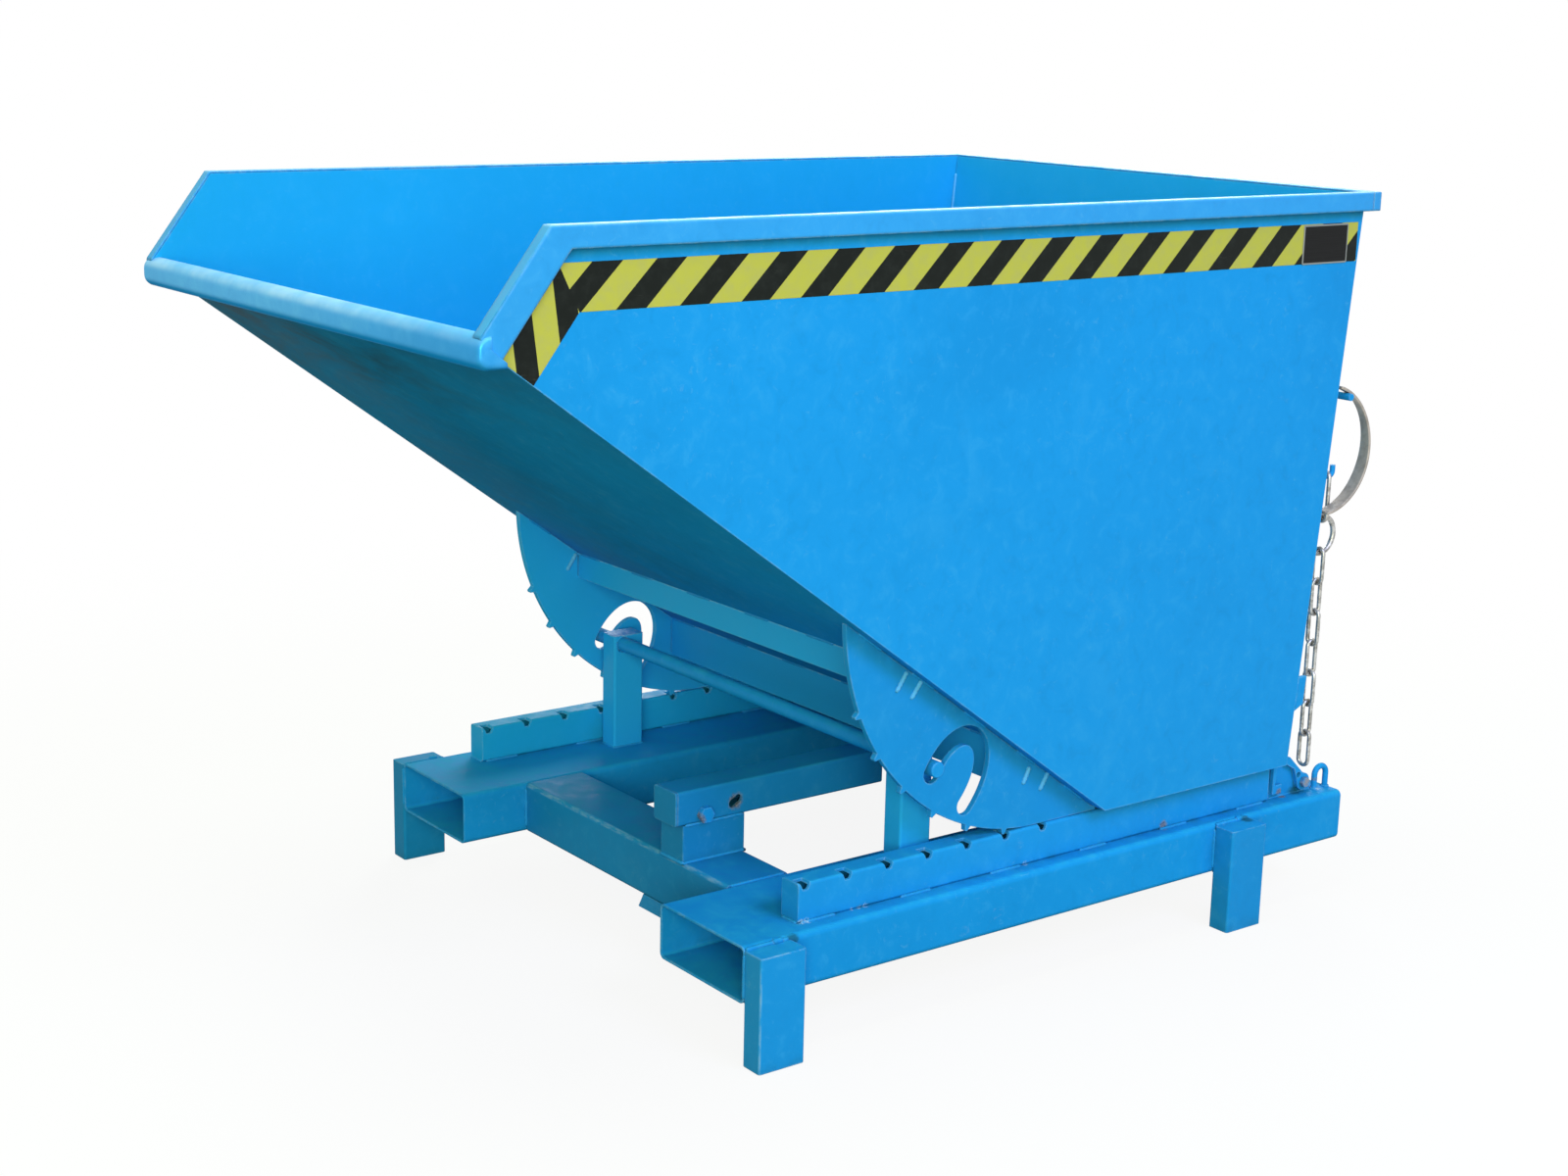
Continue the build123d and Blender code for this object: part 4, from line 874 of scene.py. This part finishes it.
def handle_bow():
    """Rows of the pull handle, a bow of flat bar with rounded edges."""
    low, high = place_in("pull_handle")
    half_width = (high[0] - low[0]) / 2
    depth = high[1] - low[1]
    outer = (BOW_HALF_HEIGHT**2 + depth**2) / (2 * depth)
    middle = Vector((low[0] + half_width, high[1] - outer, (low[2] + high[2]) / 2))
    ring = outer - BOW_THICK / 2
    corners = [(-1, -1), (1, -1), (1, 1), (-1, 1)]
    corners = [(a * half_width, b * BOW_THICK / 2, BOW_EDGE) for a, b in corners]
    outline = rounded_corners(corners)
    top, bottom = (math.acos((y - middle.y) / ring) for y in BOW_ENDS)
    whole = top + bottom
    turns = [(inset / ring, scale) for inset, scale in BOW_TIPS]
    turns += [(whole * i / BOW_STEPS, 1.0) for i in range(2, BOW_STEPS - 1)]
    turns += [(whole - inset / ring, scale) for inset, scale in reversed(BOW_TIPS)]
    rows = []
    for turn, scale in turns:
        outward = Vector((0.0, math.cos(top - turn), math.sin(top - turn)))
        here = middle + outward * ring
        share = min(turn / whole / BOW_FULL_WIDTH, 1.0)
        eased = share * share * (3.0 - 2.0 * share)
        wide = scale * (BOW_TOP_WIDTH + (1.0 - BOW_TOP_WIDTH) * eased)
        rows.append([tuple(here + Vector((u * wide, 0.0, 0.0)) + outward * (v * scale))
                     for u, v in outline])
    return rows


closed_skin("rolled_lip", rolled_lip(), blue_lip, "tub", "pouring_lip")
closed_skin("handle_bow", handle_bow(), bright_zinc, "handle", "pull_handle")

# Ends and sides that are part of a node's name
ENDS = ("front", "rear")
SIDES = ("right", "left")

# Lines of the frame that the weld beads follow, in metres, and the arc at the rod in degrees
TUBE_TOP = 0.178
TUBE_LOW = 0.092
UPRIGHT_SEAM = (0.102, 0.168)
LEG_UPRIGHT_X = 0.500
LEG_SEAMS = [((0.4995, 0.1745), 0.0034), ((0.4985, 0.0950), 0.0030)]
LEG_LUMP = (0.5005, 0.1760)
LEG_LUMP_Y = (-0.031, -0.014)
BEAM_UPRIGHT_X = 0.2895
BEAM_SEAM_X = 0.2885
BEAM_SEAM_Z = (0.1740, 0.0960)
ROD_PLACE = (-0.052, 0.366)
ROD_RING = 0.0136
ROD_ARC = (-205.0, 25.0)
EYE_X = 0.466
EYE_FOOT = 0.005
EYE_RING = 0.0056
EYE_RAISE = 0.0004

# Lines of the tub that the weld beads follow, in metres
FLOOR_FOOT = (0.279, 0.246)
FLOOR_RISE = 0.7218
FLOOR_SKIN = 0.0037
REAR_LOW = 0.246
REAR_OUTER = 0.700
REAR_INNER = 0.6947
REAR_LEAN = 0.088 / 0.945
SIDE_SEAM_X = 0.4905
SIDE_SEAM_FLOOR_Y = (-0.790, -0.400, 0.000, 0.274)
SIDE_SEAM_CORNER = (0.690, 0.2525)
SIDE_SEAM_REAR_Z = (0.300, 0.700, 1.155)
CROSS_SEAM_HALF = 0.488
CROSS_SEAMS = [((0.6935, 0.2525), 0.0027), ((0.2760, 0.2520), 0.0024)]
ROCKER_FACES = [(0.465, 1.0), (0.455, -1.0), (-0.435, 1.0), (-0.445, -1.0)]
ROCKER_SEAM_Y = (-0.208, 0.262)
ROCKER_BARS = [
    ((0.1407, 0.3348), (0.1281, 0.3087)),
    ((0.1805, 0.3198), (0.1637, 0.2927)),
    ((-0.1115, 0.5240), (-0.1306, 0.4960)),
    ((-0.0829, 0.5060), (-0.1022, 0.4810)),
]
BAR_PROUD = 0.0002
CATCH_SEAM = [(0.7012, 0.252), (0.7045, 0.294)]
TAB_SEAM = [(0.7096, 0.345), (0.7132, 0.388)]
TAB_INSET = 0.0008

# Bars that stand out of the rear wall: node, middle from its side, and the bead's ring, in metres
STUDS = [("wall_hook", 0.0045, 0.0052), ("handle_staple", 0.006, 0.0068)]
STUD_DROP = 0.0005
RING_STEPS = 18


def along_y(x, z, low, high, inset=0.0):
    """A line along Y as long as a box, less an inset at each end."""
    return [(x, low[1] + inset, z), (x, high[1] - inset, z)]


def along_x(y, z, low, high, inset=0.0):
    """A line along X as long as a box, less an inset at each end."""
    return [(low[0] + inset, y, z), (high[0] - inset, y, z)]


def upright(x, y):
    """A line up the side of a fork tube."""
    return [(x, y, z) for z in UPRIGHT_SEAM]


def ring(radius):
    """Points of a full turn, from and to the same place."""
    turns = [math.tau * i / RING_STEPS for i in range(RING_STEPS + 1)]
    return [(radius * math.cos(a), radius * math.sin(a)) for a in turns]


def floor_under(y):
    """Height of the sloping floor's lower face."""
    return FLOOR_FOOT[1] + (FLOOR_FOOT[0] - y) * FLOOR_RISE


def floor_top(y):
    """Height of the sloping floor's upper face."""
    return floor_under(y) + FLOOR_SKIN


def rear_at(face, z):
    """Y of a face of the leaning rear wall at a height."""
    return face + REAR_LEAN * (z - REAR_LOW)


# Weld beads of the frame
legs = Beads("weld_legs", "frame", seed=11)
for end in ENDS:
    low, high = place_in(f"leg_{end}_right")
    for y in (low[1], high[1]):
        legs.both_sides(upright(LEG_UPRIGHT_X, y), radius=0.0026)
    for (x, z), radius in LEG_SEAMS:
        legs.both_sides(along_y(x, z, low, high, inset=0.003), radius)
    x, z = LEG_LUMP
    legs.both_sides([(x, high[1] + y, z) for y in LEG_LUMP_Y], radius=0.0048)
legs.finish()

beams = Beads("weld_beams", "frame", seed=12)
for end in ENDS:
    low, high = place_in(f"cross_beam_{end}")
    for z in BEAM_SEAM_Z:
        beams.both_sides(along_y(BEAM_SEAM_X, z, low, high, inset=0.008), radius=0.0042)
    for y in (low[1], high[1]):
        beams.both_sides(upright(BEAM_UPRIGHT_X, y), radius=0.0028)
low, high = place_in("beam_strip")
beams.stitches((low[0] + 0.02, high[1], TUBE_LOW), (high[0] - 0.01, high[1], TUBE_LOW),
               radius=0.0024, length=0.030, gap=0.040)
beams.finish()

rails = Beads("weld_rails", "frame", seed=13)
for side in SIDES:
    low, high = place_in(f"rail_{side}")
    for x in (low[0], high[0]):
        rails.stitches((x, low[1] + 0.004, TUBE_TOP), (x, high[1] - 0.01, TUBE_TOP),
                       radius=0.0030, length=0.062, gap=0.115)
    rails.run(along_x(low[1], TUBE_TOP, low, high, inset=0.003), radius=0.0030)
rails.finish()

posts = Beads("weld_posts", "frame", seed=14)
for side in SIDES:
    low, high = place_in(f"guide_post_{side}")
    posts.round_foot(low, high, TUBE_TOP, radius=0.0032, inset=0.001)
    for x in (low[0], high[0]):
        posts.arc(x, *ROD_PLACE, ROD_RING, *ROD_ARC, radius=0.0020)
posts.finish()

centre = Beads("weld_centre_beam", "frame", seed=15)
low, high = place_in("centre_beam_foot")
centre.round_foot(low, high, low[2], radius=0.0030)
for x in (low[0], high[0]):
    centre.run(along_y(x, high[2], low, high, inset=0.004), radius=0.0022)
centre.run(along_x(high[1], high[2], low, high, inset=0.003), radius=0.0026)
centre.finish()

lock = Beads("weld_lock", "frame", seed=16)
low, high = place_in("lock_ear")
for x in (low[0], high[0]):
    lock.run(along_y(x, TUBE_TOP, low, high, inset=0.002), radius=0.0024)
low, high = place_in("securing_eye")
for y in (low[1] + EYE_FOOT, high[1] - EYE_FOOT):
    lock.run([(EYE_X + u, y + v, TUBE_TOP + EYE_RAISE) for u, v in ring(EYE_RING)],
             radius=0.0020)
lock.finish()

# Weld beads of the tub
seams = Beads("weld_tub_seams", "tub", seed=21, paint=bar_blue)
path = [(SIDE_SEAM_X, y, floor_top(y)) for y in SIDE_SEAM_FLOOR_Y]
path.append((SIDE_SEAM_X, *SIDE_SEAM_CORNER))
path += [(SIDE_SEAM_X, rear_at(REAR_INNER, z), z) for z in SIDE_SEAM_REAR_Z]
seams.both_sides(path, radius=0.0027)
for place, radius in CROSS_SEAMS:
    seams.run([(-CROSS_SEAM_HALF, *place), (CROSS_SEAM_HALF, *place)], radius)
seams.finish()

rockers = Beads("weld_rockers", "tub", seed=22)
bars = Beads("weld_bars", "tub", seed=25, paint=bar_blue)
for face, outward in ROCKER_FACES:
    start, stop = ((face, y, floor_under(y)) for y in ROCKER_SEAM_Y)
    rockers.stitches(start, stop, radius=0.0026, length=0.055, gap=0.070)
    for bar in ROCKER_BARS:
        bars.run([(face + outward * BAR_PROUD, *end) for end in bar], radius=0.0036)
rockers.finish()
bars.finish()

braces = Beads("weld_stiffeners", "tub", seed=23)
for node in ("stiffener_upper", "stiffener_lower"):
    low, high = place_in(node)
    z = floor_under(low[1])
    braces.stitches(*along_x(low[1], z, low, high, inset=0.004),
                    radius=0.0028, length=0.060, gap=0.090)
    for x in (low[0], high[0]):
        braces.run([(x, low[1], low[2] + 0.004), (x, low[1], z - 0.004)], radius=0.0022)
braces.finish()

hardware = Beads("weld_hardware", "tub", seed=24)
low, high = place_in("lock_catch")
for x in (low[0], high[0]):
    hardware.run([(x, *end) for end in CATCH_SEAM], radius=0.0020)
low, high = place_in("wall_tab")
for x in (low[0], high[0] - TAB_INSET):
    hardware.run([(x, *end) for end in TAB_SEAM], radius=0.0018)
for node, inset, size in STUDS:
    low, high = place_in(node)
    x, z = low[0] + inset, low[2] + size - STUD_DROP
    hardware.run([(x + u, rear_at(REAR_OUTER, z + v), z + v) for u, v in ring(size)],
                 radius=0.0018)
hardware.finish()

# Camera
azimuth = math.radians(CAMERA_AZIMUTH)
elevation = math.radians(CAMERA_ELEVATION)
roll = math.radians(CAMERA_ROLL)
back = Vector((math.sin(azimuth) * math.cos(elevation), -math.cos(azimuth) * math.cos(elevation),
               math.sin(elevation)))
level = Vector((math.cos(azimuth), math.sin(azimuth), 0.0))
above = back.cross(level)
right = math.cos(roll) * level + math.sin(roll) * above
up = math.cos(roll) * above - math.sin(roll) * level
lens = bpy.data.cameras.new("camera")
lens.lens = CAMERA_LENS
lens.sensor_width = SENSOR
camera = bpy.data.objects.new("camera", lens)
turn = Matrix((right, up, back)).transposed().to_4x4()
camera.matrix_world = Matrix.Translation(CAMERA_PLACE) @ turn
scene.collection.objects.link(camera)
scene.camera = camera

# Lamps, aimed at the middle of the object or at the tub's mouth
MIDDLE = (0.0, 0.0, 0.6)
MOUTH = (0.0, -0.1, 0.8)


def soft_lamp(name, place, aim, size, power, colour):
    lamp = bpy.data.lights.new(name, "AREA")
    lamp.shape = "DISK"
    lamp.size = size
    lamp.energy = power
    lamp.color = colour
    holder = bpy.data.objects.new(name, lamp)
    toward = (Vector(aim) - Vector(place)).to_track_quat("-Z", "Y")
    holder.matrix_world = Matrix.Translation(place) @ toward.to_matrix().to_4x4()
    scene.collection.objects.link(holder)


soft_lamp("key", (5.4, 0.7, 5.0), MIDDLE, size=3.0, power=240.0, colour=(0.50, 0.55, 1.0))
soft_lamp("fill", (6.30, -4.50, 2.40), MIDDLE, size=4.0, power=360.0, colour=(0.98, 1.0, 0.72))
soft_lamp("back", (-5.5, 5.0, 3.0), MIDDLE, size=4.0, power=290.0, colour=(0.92, 1.0, 1.0))
soft_lamp("top", (0.0, -0.6, 5.2), MOUTH, size=2.6, power=105.0, colour=(0.96, 1.0, 0.80))


def seen_by_eye(t):
    """Give 1 for what the eye sees straight, in a gloss or through glass."""
    path = t.add("ShaderNodeLightPath")
    seen = t.math("MAXIMUM", path.outputs["Is Camera Ray"], path.outputs["Is Glossy Ray"])
    return t.math("MAXIMUM", seen, path.outputs["Is Transmission Ray"])


# World: white to the eye, and a dimmer light on the object
world = bpy.data.worlds.new("studio")
world.use_nodes = True
scene.world = world
t = Tree(world.node_tree)
room = t.shader("ShaderNodeBackground", Color=ROOM_LIGHT, Strength=ROOM_STRENGTH)
white = t.shader("ShaderNodeBackground", Color=WHITE, Strength=1.0)
t.show(t.blend(seen_by_eye(t), room, white), "ShaderNodeOutputWorld")

# Floor: pale, going to white with distance, and it keeps the shadow
FLOOR_HALF = 14.0
FLOOR_DROP = 0.0004
FADE_RANGE = (1.0, 3.2)
FADE_LEAST = 0.90
corners = [(-1, -1), (1, -1), (1, 1), (-1, 1)]
corners = [(FLOOR_HALF * a, FLOOR_HALF * b, 0.0) for a, b in corners]
floor_mesh = bpy.data.meshes.new("floor")
floor_mesh.from_pydata(corners, [], [(0, 1, 2, 3)])
floor = bpy.data.objects.new("floor", floor_mesh)
floor.location.z = -FLOOR_DROP
scene.collection.objects.link(floor)
material, t = new_material("floor")
pale = t.shader("ShaderNodeBsdfDiffuse", Color=FLOOR_PALE)
dull = t.shader("ShaderNodeBsdfDiffuse", Color=FLOOR_BOUNCE)
glow = t.shader("ShaderNodeEmission", Color=WHITE, Strength=1.0)
fade = t.ramp(t.vector("LENGTH", t.place()), *FADE_RANGE, to_low=FADE_LEAST)
t.show(t.blend(seen_by_eye(t), dull, t.blend(fade, pale, glow)))
floor_mesh.materials.append(material)
